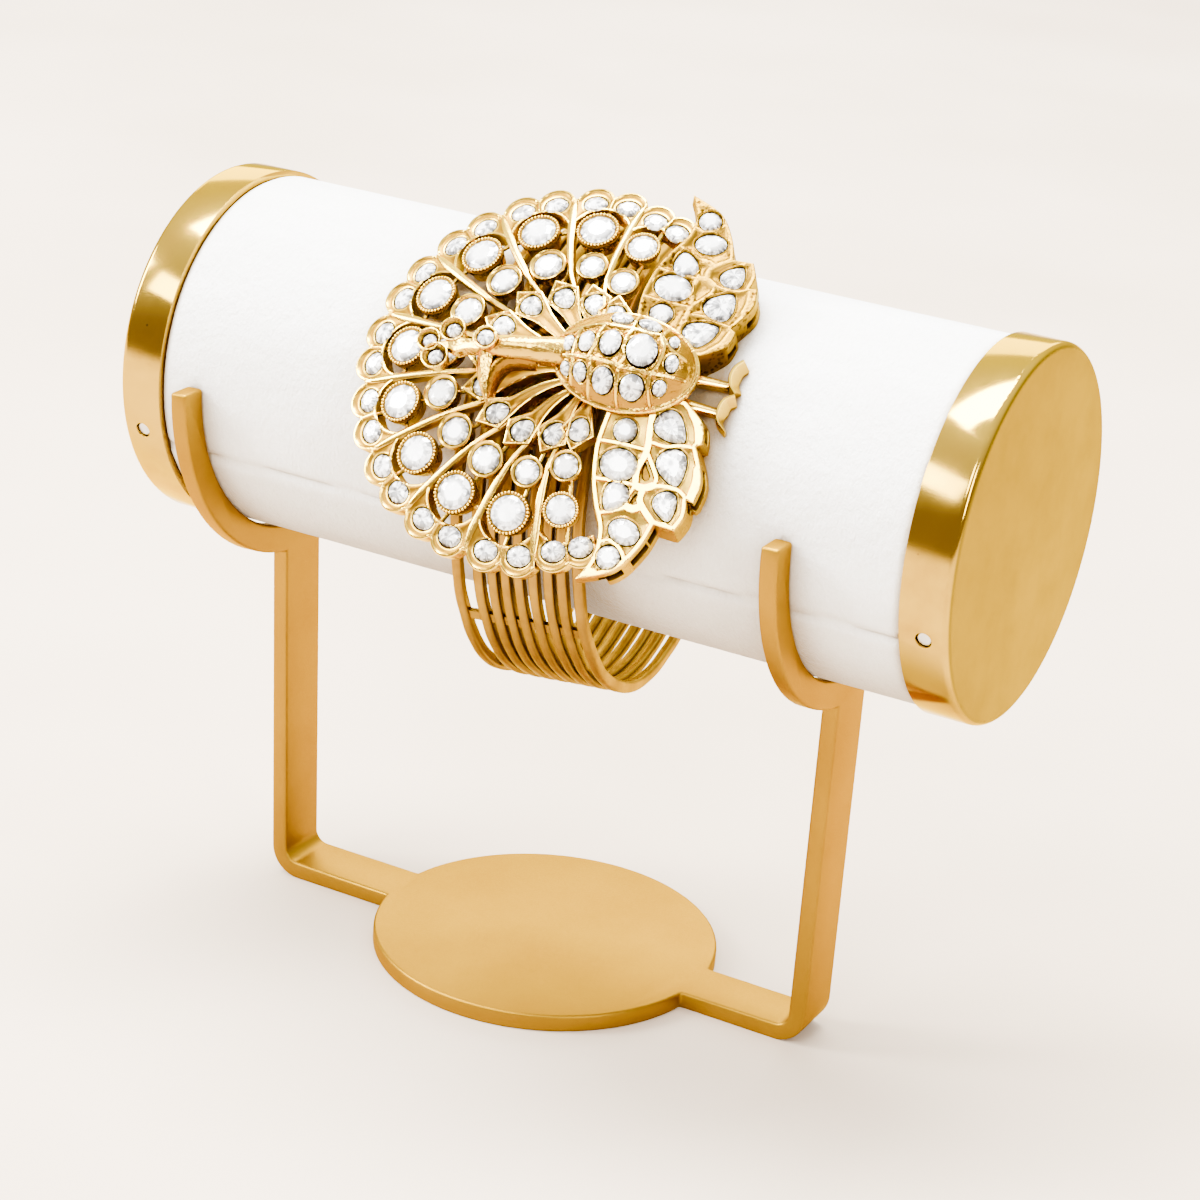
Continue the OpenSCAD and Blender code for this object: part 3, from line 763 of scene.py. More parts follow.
class Pattern(Nodes):
    """Geometry nodes that set something on each of many points."""

    def __init__(self, name: str, *sizes: str) -> None:
        """Starts the nodes with points and named sizes coming in."""
        super().__init__(bpy.data.node_groups.new(name, "GeometryNodeTree"))
        face = self.tree.interface
        face.new_socket("Geometry", in_out="INPUT", socket_type="NodeSocketGeometry")
        for label in sizes:
            face.new_socket(label, in_out="INPUT", socket_type="NodeSocketFloat")
        face.new_socket("Geometry", in_out="OUTPUT", socket_type="NodeSocketGeometry")
        self.given = self.add("NodeGroupInput").outputs

    def on_points(self, made: Socket, spin: Triple = (0, 0, 0)) -> Socket:
        """Returns real copies of what was made, one on each point."""
        inputs = {"Points": self.given["Geometry"], "Instance": made, "Rotation": spin}
        copies = self.add("GeometryNodeInstanceOnPoints", inputs)
        return self.add("GeometryNodeRealizeInstances", {0: copies.outputs[0]}).outputs[0]

    def finish(self, made: Socket, material: Material) -> None:
        """Dresses what was made and sends it out."""
        dressed = self.add("GeometryNodeSetMaterial", {"Geometry": made, "Material": material})
        self.add("NodeGroupOutput", {0: dressed.outputs[0]})

    def run(self, name: str, points: Array, sizes: dict[str, float]) -> bpy.types.Mesh:
        """Runs the nodes.

        Args:
            name: The result's name.
            points: The points that it stands on.
            sizes: Value of each named size.

        Returns:
            The result as a plain mesh.
        """
        mesh = bpy.data.meshes.new(f"{name}_points")
        mesh.from_pydata(points.tolist(), [], [])
        draft = shown(f"{name}_draft", mesh)
        modifier = draft.modifiers.new(self.tree.name, "NODES")
        modifier.node_group = self.tree
        for item in self.tree.interface.items_tree:
            if item.in_out == "INPUT" and item.name in sizes:
                modifier[item.identifier] = sizes[item.name]
        return evaluated(draft, name)


class Graph(Nodes):
    """One material and the nodes added to it."""

    def __init__(self, name: str) -> None:
        """Starts a material with its shader."""
        self.material = bpy.data.materials.new(name)
        self.material.use_nodes = True
        super().__init__(self.material.node_tree)
        self.shader = self.tree.nodes["Principled BSDF"]

    def place(self, stretch: Triple = (1, 1, 1)) -> Socket:
        """Returns the place on the piece in millimetres, stretched along its axes."""
        where = self.add("ShaderNodeTexCoord").outputs["Object"]
        scale = tuple(s / MM for s in stretch)
        return self.add("ShaderNodeMapping", {"Vector": where, "Scale": scale}).outputs[0]

    def noise(self, where: Socket, scale: float, detail: float = 3.0, roughness: float = 0.5) -> Socket:
        """Returns soft noise with scale features to a millimetre."""
        return self.add("ShaderNodeTexNoise", {"Vector": where, "Scale": scale, "Detail": detail,
                                               "Roughness": roughness}).outputs[0]

    def spots(self, where: Socket, scale: float) -> Socket:
        """Returns the distance from scattered points, scale of them to a millimetre."""
        return self.add("ShaderNodeTexVoronoi", {"Vector": where, "Scale": scale}).outputs["Distance"]

    def open_air(self, reach: float, own: bool = True) -> Socket:
        """Returns how open the surface lies, with reach in millimetres, to its own piece or to all."""
        inputs = {"Distance": reach * MM}
        return self.add("ShaderNodeAmbientOcclusion", inputs, samples=6, only_local=own).outputs["AO"]

    def range(self, value: Socket, low: float, high: float, to_low: float = 0.0,
              to_high: float = 1.0) -> Socket:
        """Returns a value carried from one range to another, clamped."""
        inputs = {0: value, 1: low, 2: high, 3: to_low, 4: to_high}
        return self.add("ShaderNodeMapRange", inputs).outputs[0]

    def math(self, operation: str, a: object, b: object = 0.0) -> Socket:
        """Returns the result of a calculation on two values."""
        return self.add("ShaderNodeMath", {0: a, 1: b}, operation=operation).outputs[0]

    def mix(self, share: object, a: object, b: object) -> Socket:
        """Returns colour a mixed with colour b."""
        inputs = {0: share, 6: a, 7: b}
        return self.add("ShaderNodeMix", inputs, data_type="RGBA").outputs[2]

    def bump(self, height: Socket, strength: float, depth: float, under: Socket | None = None) -> Socket:
        """Returns a normal bumped by a height, depth in millimetres."""
        inputs = {"Height": height, "Strength": strength, "Distance": depth * MM}
        inputs |= {} if under is None else {"Normal": under}
        return self.add("ShaderNodeBump", inputs).outputs[0]


# Tint of gold and brass seen at a low angle
EDGE_TINT: Colour = (1.0, 0.78, 0.14, 1)


@dataclass(frozen=True)
class Finish:
    """A finish: a name and the rule of its surface."""

    name: str

    def surface(self, g: Graph) -> dict:
        """Builds the surface's nodes.

        Args:
            g: The material's nodes.

        Returns:
            The shader's inputs.
        """
        raise NotImplementedError

    def build(self) -> Material:
        """Returns the material."""
        g = Graph(self.name)
        g.feed(g.shader, self.surface(g))
        return g.material


@dataclass(frozen=True)
class AntiqueGold(Finish):
    """Cast gold plate, polished on its edges and browned in its recesses by antique patina together with
    painted shade.

    Attributes:
        recess: How far the painted shade and patina of a recess reach, in millimetres.
        hammer: Height of its unevenness in millimetres, lumps of it to a millimetre.
        pits: Share of small dark pits.
    """

    name: str = "antique_gold"
    bright: Colour = (0.78, 0.50, 0.045, 1)
    satin: Colour = (0.19, 0.092, 0.002, 1)
    # brown: colour of the patina and of the painted shade in recesses, crevices and bores
    brown: Colour = (0.025, 0.007, 0.001, 1)
    recess: float = 3.0
    rough_satin: float = 0.34
    rough_polished: float = 0.13
    hammer: float = 0.035
    lumps: float = 2.2
    pits: float = 0.0

    def surface(self, g: Graph) -> dict:
        """Returns the shader's inputs."""
        where = g.place()
        polish = g.add("ShaderNodeAttribute", attribute_name="polish").outputs["Fac"]
        worn = g.noise(where, 0.9, 4.0, 0.6)
        # painted shade and patina: brown where the piece's own recesses close over it, less where it is worn
        out_of_shade_and_patina = g.range(g.math("ADD", g.open_air(self.recess), g.math("MULTIPLY", worn, 0.25)), 0.32, 0.85)
        metal = g.mix(g.range(polish, 0.1, 0.9), self.satin, self.bright)
        # polish below zero adds painted shade in crevices, slots and bores
        bare = g.math("MULTIPLY", out_of_shade_and_patina, g.range(polish, -0.8, 0.0))
        patches = g.range(g.noise(where, 0.22, 3.0), 0.5, 0.56, 0.1 * self.pits, self.pits)
        pitted = g.math("MULTIPLY", g.range(g.spots(where, 1.5), 0.44, 0.3), patches)
        bare = g.math("MULTIPLY", bare, g.math("SUBTRACT", 1.0, pitted))
        rough = g.range(polish, 0.1, 0.9, self.rough_satin, self.rough_polished)
        hammered = g.bump(g.noise(where, self.lumps, 3.0, 0.6), 0.5, self.hammer)
        return {
            "Base Color": g.mix(bare, self.brown, metal),
            "Metallic": 1.0,
            "Roughness": g.math("ADD", rough, g.range(worn, 0.3, 0.7, 0.0, 0.1)),
            "Specular Tint": EDGE_TINT,
            "Normal": g.bump(pitted, -0.7, 0.12, hammered),
        }


@dataclass(frozen=True)
class BandGold(Finish):
    """Rings of drawn gold-plated strip, brushed along their length, with painted shade between the rings."""

    name: str = "band_gold"
    bright: Colour = (0.27, 0.145, 0.012, 1)
    dull: Colour = (0.20, 0.10, 0.008, 1)
    brown: Colour = (0.06, 0.022, 0.003, 1)

    def surface(self, g: Graph) -> dict:
        """Returns the shader's inputs."""
        cloud = g.noise(g.place(), 0.25, 4.0, 0.6)
        grain = g.noise(g.place((3.0, 0.35, 0.35)), 2.0, 3.0)
        metal = g.mix(g.range(cloud, 0.35, 0.7), self.bright, self.dull)
        return {
            # painted shade: brown where the neighbouring rings close over the strip
            "Base Color": g.mix(g.range(g.open_air(1.2), 0.35, 0.85), self.brown, metal),
            "Metallic": 1.0,
            "Roughness": g.range(cloud, 0.3, 0.7, 0.36, 0.5),
            "Specular Tint": EDGE_TINT,
            "Normal": g.bump(grain, 0.35, 0.03),
        }


@dataclass(frozen=True)
class SatinPaint(Finish):
    """Golden metal paint with a fine powder grain."""

    name: str = "satin_gold_paint"
    body: Colour = (0.265, 0.137, 0.0, 1)
    shade: Colour = (0.225, 0.111, 0.0, 1)
    edge_tint: Colour = (1.0, 0.72, 0.0, 1)

    def surface(self, g: Graph) -> dict:
        """Returns the shader's inputs."""
        where = g.place()
        cloud = g.noise(where, 0.06, 3.0)
        grain = g.noise(where, 5.0, 2.0, 0.7)
        lumps = g.bump(g.noise(where, 0.8, 3.0), 0.15, 0.06)
        return {
            "Base Color": g.mix(g.range(cloud, 0.35, 0.7), self.body, self.shade),
            "Metallic": 1.0,
            "Roughness": g.range(grain, 0.3, 0.7, 0.36, 0.5),
            "Specular Tint": self.edge_tint,
            "Normal": g.bump(grain, 0.35, 0.03, lumps),
        }


@dataclass(frozen=True)
class PolishedBrass(Finish):
    """Polished brass with hairline scratches and small dark pits, satin on its end faces.

    Attributes:
        middle_x: Middle of the roll, in millimetres.
        end_x: Distance of the end faces from there.
    """

    name: str = "polished_brass"
    body: Colour = (0.44, 0.27, 0.02, 1)
    stain: Colour = (0.34, 0.19, 0.015, 1)
    pit: Colour = (0.10, 0.05, 0.02, 1)
    satin: Colour = (0.19, 0.122, 0.0, 1)
    middle_x: float = 3.0
    end_x: float = 61.8

    def surface(self, g: Graph) -> dict:
        """Returns the shader's inputs."""
        where = g.place()
        cloud = g.noise(where, 0.12, 4.0, 0.6)
        pitted = g.math("MULTIPLY", g.range(g.spots(where, 0.34), 0.06, 0.03), g.range(cloud, 0.5, 0.56))
        scratch = g.noise(g.place((0.15, 1.0, 1.0)), 6.0, 2.0)
        along = g.add("ShaderNodeSeparateXYZ", {0: where}).outputs[0]
        away = g.math("ABSOLUTE", g.math("SUBTRACT", along, self.middle_x))
        end = g.range(away, self.end_x - 0.15, self.end_x)
        polished = g.mix(g.range(cloud, 0.45, 0.75), self.body, self.stain)
        rough = g.range(cloud, 0.35, 0.7, 0.08, 0.18)
        return {
            "Base Color": g.mix(pitted, g.mix(end, polished, self.satin), self.pit),
            "Metallic": 1.0,
            "Roughness": g.math("ADD", rough, g.math("MULTIPLY", end, 0.25)),
            "Specular Tint": EDGE_TINT,
            "Normal": g.bump(scratch, 0.08, 0.02),
        }


@dataclass(frozen=True)
class BrushedSteel(Finish):
    """Small steel screw heads."""

    name: str = "brushed_steel"
    light: Colour = (0.62, 0.61, 0.6, 1)
    dark: Colour = (0.4, 0.38, 0.36, 1)

    def surface(self, g: Graph) -> dict:
        """Returns the shader's inputs."""
        colour = g.mix(g.noise(g.place(), 1.5), self.light, self.dark)
        return {"Base Color": colour, "Metallic": 1.0, "Roughness": 0.28}


@dataclass(frozen=True)
class Velvet(Finish):
    """Short white nap, brushed one way, with a soft sheen and painted shade where the floor, the stand or the
    jewel lie near.
    """

    name: str = "white_velvet"
    body: Colour = (0.95, 0.95, 0.94, 1)
    hollow: Colour = (0.82, 0.81, 0.78, 1)
    # colour of the painted shade under the jewel and towards the floor
    shaded: Colour = (0.24, 0.17, 0.085, 1)
    reach: float = 90.0

    def surface(self, g: Graph) -> dict:
        """Returns the shader's inputs."""
        nap = g.noise(g.place((1.0, 0.45, 0.45)), 2.6, 4.0, 0.7)
        brushed = g.noise(g.place((0.3, 1.0, 1.0)), 0.12, 3.0)
        waves = g.bump(g.noise(g.place(), 0.3, 4.0, 0.65), 0.5, 0.8)
        lean = g.math("ADD", g.math("MULTIPLY", nap, 0.5), g.math("MULTIPLY", brushed, 0.5))
        pile = g.mix(g.range(lean, 0.4, 0.68), self.hollow, self.body)
        return {
            # painted shade: brown where the floor, the stand or the jewel lie within reach
            "Base Color": g.mix(g.range(g.open_air(self.reach, False), 0.36, 0.88), self.shaded, pile),
            "Roughness": 0.9,
            "Sheen Weight": 0.5,
            "Sheen Roughness": 0.4,
            "Sheen Tint": (1, 1, 1, 1),
            "Specular IOR Level": 0.2,
            "Normal": g.bump(nap, 0.8, 0.3, waves),
        }


@dataclass(frozen=True)
class FoiledCrystal(Finish):
    """Foil-backed crystal: a pale body whose facets carry painted reflections, light or dark unevenly.

    Attributes:
        milk: Share of milky white over the facets and the foil's shadows.
        shadows: Facets of the foil to a millimetre.
        culet: Darkness of the painted dark reflection near the middle.
        variety: How fast the marks change from stone to stone.
        rays: How many of the foil's painted rays of reflection there are round the stone.
    """

    milk: float
    shadows: float
    culet: float = 0.0
    variety: float = 0.45
    rays: float = 2.4
    white: Colour = (0.97, 0.97, 0.96, 1)
    grey: Colour = (0.06, 0.06, 0.062, 1)

    def surface(self, g: Graph) -> dict:
        """Returns the shader's inputs."""
        cut = g.add("ShaderNodeTexCoord").outputs["UV"]
        glint = g.add("ShaderNodeAttribute", attribute_name="glint").outputs["Fac"]
        spread = g.scaled(g.vector("NORMALIZE", cut), self.rays)
        own = g.place((self.variety, self.variety, self.variety))
        rays = g.noise(g.vector("ADD", spread, own), 1.0, 4.0, 0.7)
        cells = g.add("ShaderNodeTexVoronoi", {"Vector": g.place(), "Scale": self.shadows})
        pale = g.add("ShaderNodeSeparateColor", {0: cells.outputs["Color"]}).outputs[0]
        marks = g.math("ADD", g.math("MULTIPLY", rays, 0.8), g.math("MULTIPLY", pale, 0.2))
        # painted reflection: each facet's glint times the foil's rays and dark facets
        foil = g.math("MULTIPLY", g.range(marks, 0.4, 0.53), glint)
        off_centre = g.vector("DISTANCE", cut, (-0.25, 0.05, 0))
        # painted dark reflection near the middle
        culet = g.range(off_centre, 0.1, 0.26, 1.0 - self.culet, 1.0)
        centre = g.range(g.vector("LENGTH", cut), 0.45, 0.9, self.milk, 0.0)
        light = g.math("MULTIPLY", g.math("MAXIMUM", foil, centre), culet)
        return {
            "Base Color": g.mix(light, self.grey, self.white),
            "Metallic": 0.05,
            "Roughness": 0.1,
            "Coat Weight": 1.0,
            "Coat Roughness": 0.03,
            "Normal": g.bump(pale, 0.25, 0.1),
        }


@dataclass(frozen=True)
class PaleFloor(Finish):
    """Plain pale floor under the stand."""

    name: str = "pale_floor"
    light: Colour = (0.53, 0.43, 0.33, 1)
    dark: Colour = (0.45, 0.355, 0.26, 1)

    def surface(self, g: Graph) -> dict:
        """Returns the shader's inputs."""
        cloud = g.noise(g.place(), 0.006, 3.0)
        grain = g.noise(g.place((1.0, 0.3, 1.0)), 1.2, 2.0)
        return {
            "Base Color": g.mix(g.range(cloud, 0.35, 0.65), self.dark, self.light),
            "Roughness": 0.85,
            "Normal": g.bump(grain, 0.25, 0.15),
        }


# The stand and the roll

@dataclass
class RefinedNode:
    """A node of the frame with its sharp edges rounded over.

    Attributes:
        nodes: Nodes to round over, each a piece of its own.
        suffix: Ending of the new pieces' names.
        edge_r: Radius of the rounding.
        slot: The pieces' slot.
    """

    nodes: Sequence[str]
    suffix: str
    edge_r: float
    slot: Slot

    def build(self, finish: Material) -> list[Piece]:
        """Builds the rounded pieces.

        Args:
            finish: Their material.

        Returns:
            The pieces.
        """
        made = []
        for node in self.nodes:
            net = bmesh.new()
            net.from_mesh(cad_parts[node].data)
            bmesh.ops.remove_doubles(net, verts=net.verts, dist=0.002 * MM)
            bmesh.ops.dissolve_limit(net, angle_limit=math.radians(0.6), verts=net.verts, edges=net.edges)
            mesh = bpy.data.meshes.new(node)
            net.to_mesh(mesh)
            net.free()
            draft = link(f"{node}_draft", mesh, finish, 30)
            rounding = draft.modifiers.new("rounding", "BEVEL")
            rounding.width = self.edge_r * MM
            rounding.segments = 3
            rounding.limit_method = "ANGLE"
            rounding.angle_limit = math.radians(35)
            rounding.harden_normals = False
            piece = link(f"{node}_{self.suffix}", evaluated(draft, node), finish, 40)
            made.append(dress(piece, self.slot, node))
        return made


@dataclass
class VelvetRoll:
    """The roll: a tube wrapped in velvet with one seam along it.

    Attributes:
        left: Left end inside its cap.
        right: Right end inside its cap.
        cap_w: Length of roll under each cap.
        spigot_r: Radius under the caps.
        seam_turn: Place of the seam below the horizontal front, in degrees.
    """

    radius: float = 24.4
    axis_z: float = 79.7
    left: float = -58.9
    right: float = 64.9
    cap_w: float = 6.6
    spigot_r: float = 23.6
    seam_turn: float = 21.0
    sides: int = 240
    rows: int = 150

    def radius_at(self, x: float, angles: Array) -> Array:
        """Returns the roll's radius round one section.

        Args:
            x: Place along the roll.
            angles: Angles from straight up towards the viewer, in radians.

        Returns:
            The radius at each angle.
        """
        seam = math.radians(90 + self.seam_turn) + 0.012 * math.sin(x * 0.11) + 0.005 * math.sin(x * 0.6)
        away = (angles - seam + math.pi) % (2 * math.pi) - math.pi
        arc = away * self.radius
        groove = 0.5 * np.exp(-(arc / 0.4) ** 2) - 0.1 * np.exp(-((arc - 1.6) / 1.2) ** 2)
        soft = np.array([noise.noise(Vector((x * 0.06, math.cos(a) * 1.6, math.sin(a) * 1.6)))
                         for a in angles])
        return self.radius - groove - 0.05 + 0.05 * soft

    def build(self, finish: Material) -> Piece:
        """Builds the roll.

        Args:
            finish: Its material.

        Returns:
            The roll.
        """
        shells = Shells()
        angles = 2 * math.pi * np.arange(self.sides) / self.sides
        gap = 0.15
        low, high = self.left + self.cap_w + gap, self.right - self.cap_w - gap

        def ring(x: float, radii: float | Array) -> Array:
            """Returns a section of the roll."""
            return np.column_stack([np.full(self.sides, x), -radii * np.sin(angles),
                                    self.axis_z + radii * np.cos(angles)])

        rings = [ring(x, self.spigot_r) for x in (self.left + 1.65, low - 0.05)]
        for t in np.linspace(0, 1, self.rows):
            x = low + (high - low) * t
            rolled = 0.35 * max(0.0, 1 - min(x - low, high - x) / 0.5) ** 2
            rings.append(ring(x, self.radius_at(x, angles) - rolled))
        rings += [ring(x, self.spigot_r) for x in (high + 0.05, self.right - 1.65)]
        shells.loft(rings)
        return dress(shells.make("velvet_roll", finish, Matrix(), 50), Slot.VELVET, "roll")


# The cuff's band

@dataclass
class CuffBand:
    """Nine drawn rings side by side, soldered by short bars.

    Attributes:
        gaps: Gap after each of the first eight, from the left.
        edge_r: Rounding of their edges, in edge_steps steps.
        wave: How far they wander, wave_scale waves to a millimetre.
        solder_angles: Places of the solder bars.
    """

    inner_r: float = 30.0
    ring_t: float = 1.4
    ring_w: float = 1.7
    gaps: Sequence[float] = (1.3, 0.3, 0.15, 0.2, 0.3, 0.4, 0.15, 0.5)
    edge_r: float = 0.5
    edge_steps: int = 4
    ring_sides: int = 180
    wave: float = 0.36
    wave_scale: float = 0.11
    solder_angles: Sequence[float] = (30, 62, 205)
    solder_half: float = 0.8

    def middles(self) -> Array:
        """Returns the middle of each ring along the axis."""
        width = (len(self.gaps) + 1) * self.ring_w + sum(self.gaps)
        starts = np.arange(len(self.gaps) + 1) * self.ring_w + np.cumsum([0, *self.gaps])
        return starts + (self.ring_w - width) / 2

    def ring_pattern(self, finish: Material) -> Pattern:
        """Sweeps a rounded strip round each point, slightly wavy.

        Args:
            finish: Its material.

        Returns:
            The geometry nodes.
        """
        g = Pattern("drawn_rings", "Ring radius", "Width", "Thickness", "Edge radius", "Wave")
        circle = g.add("GeometryNodeCurvePrimitiveCircle",
                       {"Resolution": self.ring_sides, "Radius": g.given["Ring radius"]})
        strip = g.add("GeometryNodeCurvePrimitiveQuadrilateral",
                      {"Width": g.given["Width"], "Height": g.given["Thickness"]})
        rounded = g.add("GeometryNodeFilletCurve", {"Curve": strip.outputs[0], "Count": self.edge_steps,
                                                    "Radius": g.given["Edge radius"]}, mode="POLY")
        swept = g.add("GeometryNodeCurveToMesh",
                      {"Curve": circle.outputs[0], "Profile Curve": rounded.outputs[0]})
        rings = g.on_points(swept.outputs[0], (0, math.pi / 2, 0))
        drift = g.add("ShaderNodeTexNoise", {"Scale": self.wave_scale, "Detail": 1.0}).outputs["Color"]
        offset = g.scaled(g.vector("SUBTRACT", drift, (0.5, 0.5, 0.5)), g.given["Wave"])
        bent = g.add("GeometryNodeSetPosition", {"Geometry": rings, "Offset": offset})
        g.finish(bent.outputs[0], finish)
        return g

    def build(self, finish: Material) -> Piece:
        """Builds the band.

        Args:
            finish: Its material.

        Returns:
            The band.
        """
        sizes = {"Ring radius": self.inner_r + self.ring_t / 2, "Width": self.ring_w,
                 "Thickness": self.ring_t, "Edge radius": self.edge_r, "Wave": self.wave}
        stations = np.array([(x, 0, 0) for x in self.middles()])
        rings = self.ring_pattern(finish).run("band_rings", stations, sizes)
        shells = Shells()
        shells.add(np.array([v.co for v in rings.vertices]), [tuple(p.vertices) for p in rings.polygons])
        reach = self.middles()[-1]
        low, high, half = -self.inner_r - self.ring_t + 0.4, -self.inner_r - 0.4, self.solder_half
        for angle in self.solder_angles:
            ends = [np.array([[x, low, -half], [x, high, -half], [x, high, half], [x, low, half]])
                    for x in (-reach, reach)]
            shells.loft([moved(end, turn(angle, "X")) for end in ends])
        piece = shells.make("ring_band", finish, PLACE.cuff(), 40)
        return dress(piece, Slot.GOLD, "cuff_band")


# Stones

@dataclass(frozen=True)
class Stone:
    """One stone's place and size in the plane that it lies in.

    Attributes:
        turn: Turn of its long axis, in degrees.
        pear: How far it narrows to its tip.
    """

    at: Pair
    length: float
    width: float
    turn: float = 0.0
    pear: float = 0.0

    def outline(self, corners: int, grow: float = 0.0) -> Array:
        """Returns the stone's girdle about its middle, unturned."""
        t = 2 * math.pi * np.arange(corners) / corners
        narrow = (1 - self.pear * (1 + np.cos(t)) / 2) / (1 - 0.4 * self.pear)
        return np.stack([(self.length / 2 + grow) * np.cos(t), (self.width / 2 + grow) * np.sin(t) * narrow],
                        axis=1)

    def placed_outline(self, corners: int, grow: float = 0.0) -> Array:
        """Returns the stone's girdle where it lies."""
        a = math.radians(self.turn)
        turned = np.array([[math.cos(a), math.sin(a)], [-math.sin(a), math.cos(a)]])
        return self.outline(corners, grow) @ turned + np.asarray(self.at)


@dataclass(frozen=True)
class StoneCut:
    """A rose-table cut: girdle, two rows of crown facets and a table.

    Attributes:
        corners: Corners of the girdle.
        crown: Height of the table above the girdle.
        table: Size of the table against the girdle.
        depth: Depth of the stone below its girdle.
    """

    corners: int
    crown: float
    table: float = 0.52
    depth: float = 0.45

    def add_to(self, shells: Shells, stone: Stone, place: Matrix, seed: int) -> None:
        """Adds the stone's shell.

        Args:
            shells: Shells that it joins.
            stone: Its size.
            place: Frame at its girdle, with X along its long axis.
            seed: Seed of its hand-cut unevenness.
        """
        n = self.corners
        rough = np.random.default_rng(seed)
        girdle = stone.outline(n)
        half = stone.outline(2 * n)
        mid = 0.80 * half[1::2] + rough.normal(0, 0.012, (n, 2)) * stone.width
        top = self.table * stone.outline(n) + rough.normal(0, 0.012, (n, 2)) * stone.width
        rings = [(0.9 * girdle, -self.depth), (girdle, -0.06), (girdle, 0.0), (mid, 0.62 * self.crown),
                 (top, self.crown)]
        flat = np.concatenate([ring for ring, _ in rings])
        heights = np.repeat([z for _, z in rings], n)
        heights[3 * n:4 * n] += rough.normal(0, 0.03, n) * self.crown
        points = np.column_stack([flat, heights])
        faces: list[tuple[int, ...]] = [tuple(reversed(range(n))), tuple(4 * n + j for j in range(n))]
        glint = [1.0, 1.0]
        for j in range(n):
            k = (j + 1) % n
            for low in (0, n):
                faces.append((low + j, low + k, low + n + k, low + n + j))
            faces += [(2 * n + j, 2 * n + k, 3 * n + j), (3 * n + j, 2 * n + k, 3 * n + k),
                      (3 * n + j, 4 * n + k, 4 * n + j), (3 * n + j, 3 * n + k, 4 * n + k)]
            # painted glint of each facet: pavilion faces dim, crown facets bright or dark at random
            glint += [0.4, 0.4, *rough.choice((0.25, 0.55, 0.85, 1.0), 2)]
            glint += [*rough.choice((0.5, 0.8, 1.0, 1.0), 2)]
        scale = np.array([stone.length / 2, stone.width / 2])
        shells.add(moved(points, place), faces, 1.0, flat / scale, glint)


# Cuts: corners of the girdle, crown, table
EYE_CUT = StoneCut(16, 0.42, 0.55)
DISC_CUT = StoneCut(14, 0.4, 0.55)
FEATHER_CUT = StoneCut(14, 0.45, 0.5)
WING_CUT = StoneCut(18, 0.55, 0.5)
BODY_CUT = StoneCut(16, 0.42, 0.5)
CREST_CUT = StoneCut(14, 0.4, 0.5)
# Length and width of a rim stone
RIM_STONE = (3.16, 2.66)


# The tail fan

# Turned cups: radius, height and polish of each ring; polish below zero is painted shade under the beads and
# in the bore
EYE_CUP = ((0.05, -2.8, 0.2), (2.2, -2.8, 0.2), (2.36, -2.7, 0.3), (2.62, -1.5, 0.5), (2.8, -0.9, 0.6),
           (2.82, -0.5, 0.5), (2.76, -0.34, -0.6), (2.6, -0.28, -0.8), (2.44, -0.06, -0.6), (2.36, 0.0, 0.5),
           (2.31, -0.06, 0.0), (2.29, -0.5, -0.8), (0.05, -0.55, -0.8))
DISC_CUP = ((0.05, -2.0, 0.2), (1.9, -2.0, 0.2), (2.1, -1.9, 0.3), (2.3, -1.2, 0.5), (2.4, -0.4, 0.6),
            (2.42, -0.1, 0.8), (2.38, 0.0, 1), (2.28, 0.05, 1), (2.18, 0.0, 1), (2.06, -0.2, 0.6),
            (1.93, -0.33, 0.2), (1.88, -0.5, -0.8), (0.05, -0.55, -0.8))
HUB = ((0.05, 0, 0.3), (3.6, 0, 0.3), (3.6, 5.0, 0.3), (3.4, 5.2, 0.3), (0.05, 5.2, 0.3))
# Section of a rib: place across, height and polish of each corner
RIB = ((-0.8, -2.2, 0.2), (-1, -1.1, 0.3), (-0.85, -0.68, 0.8), (-0.4, -0.52, 1), (0.4, -0.52, 1),
       (0.85, -0.68, 0.8), (1, -1.1, 0.3), (0.8, -2.2, 0.2))


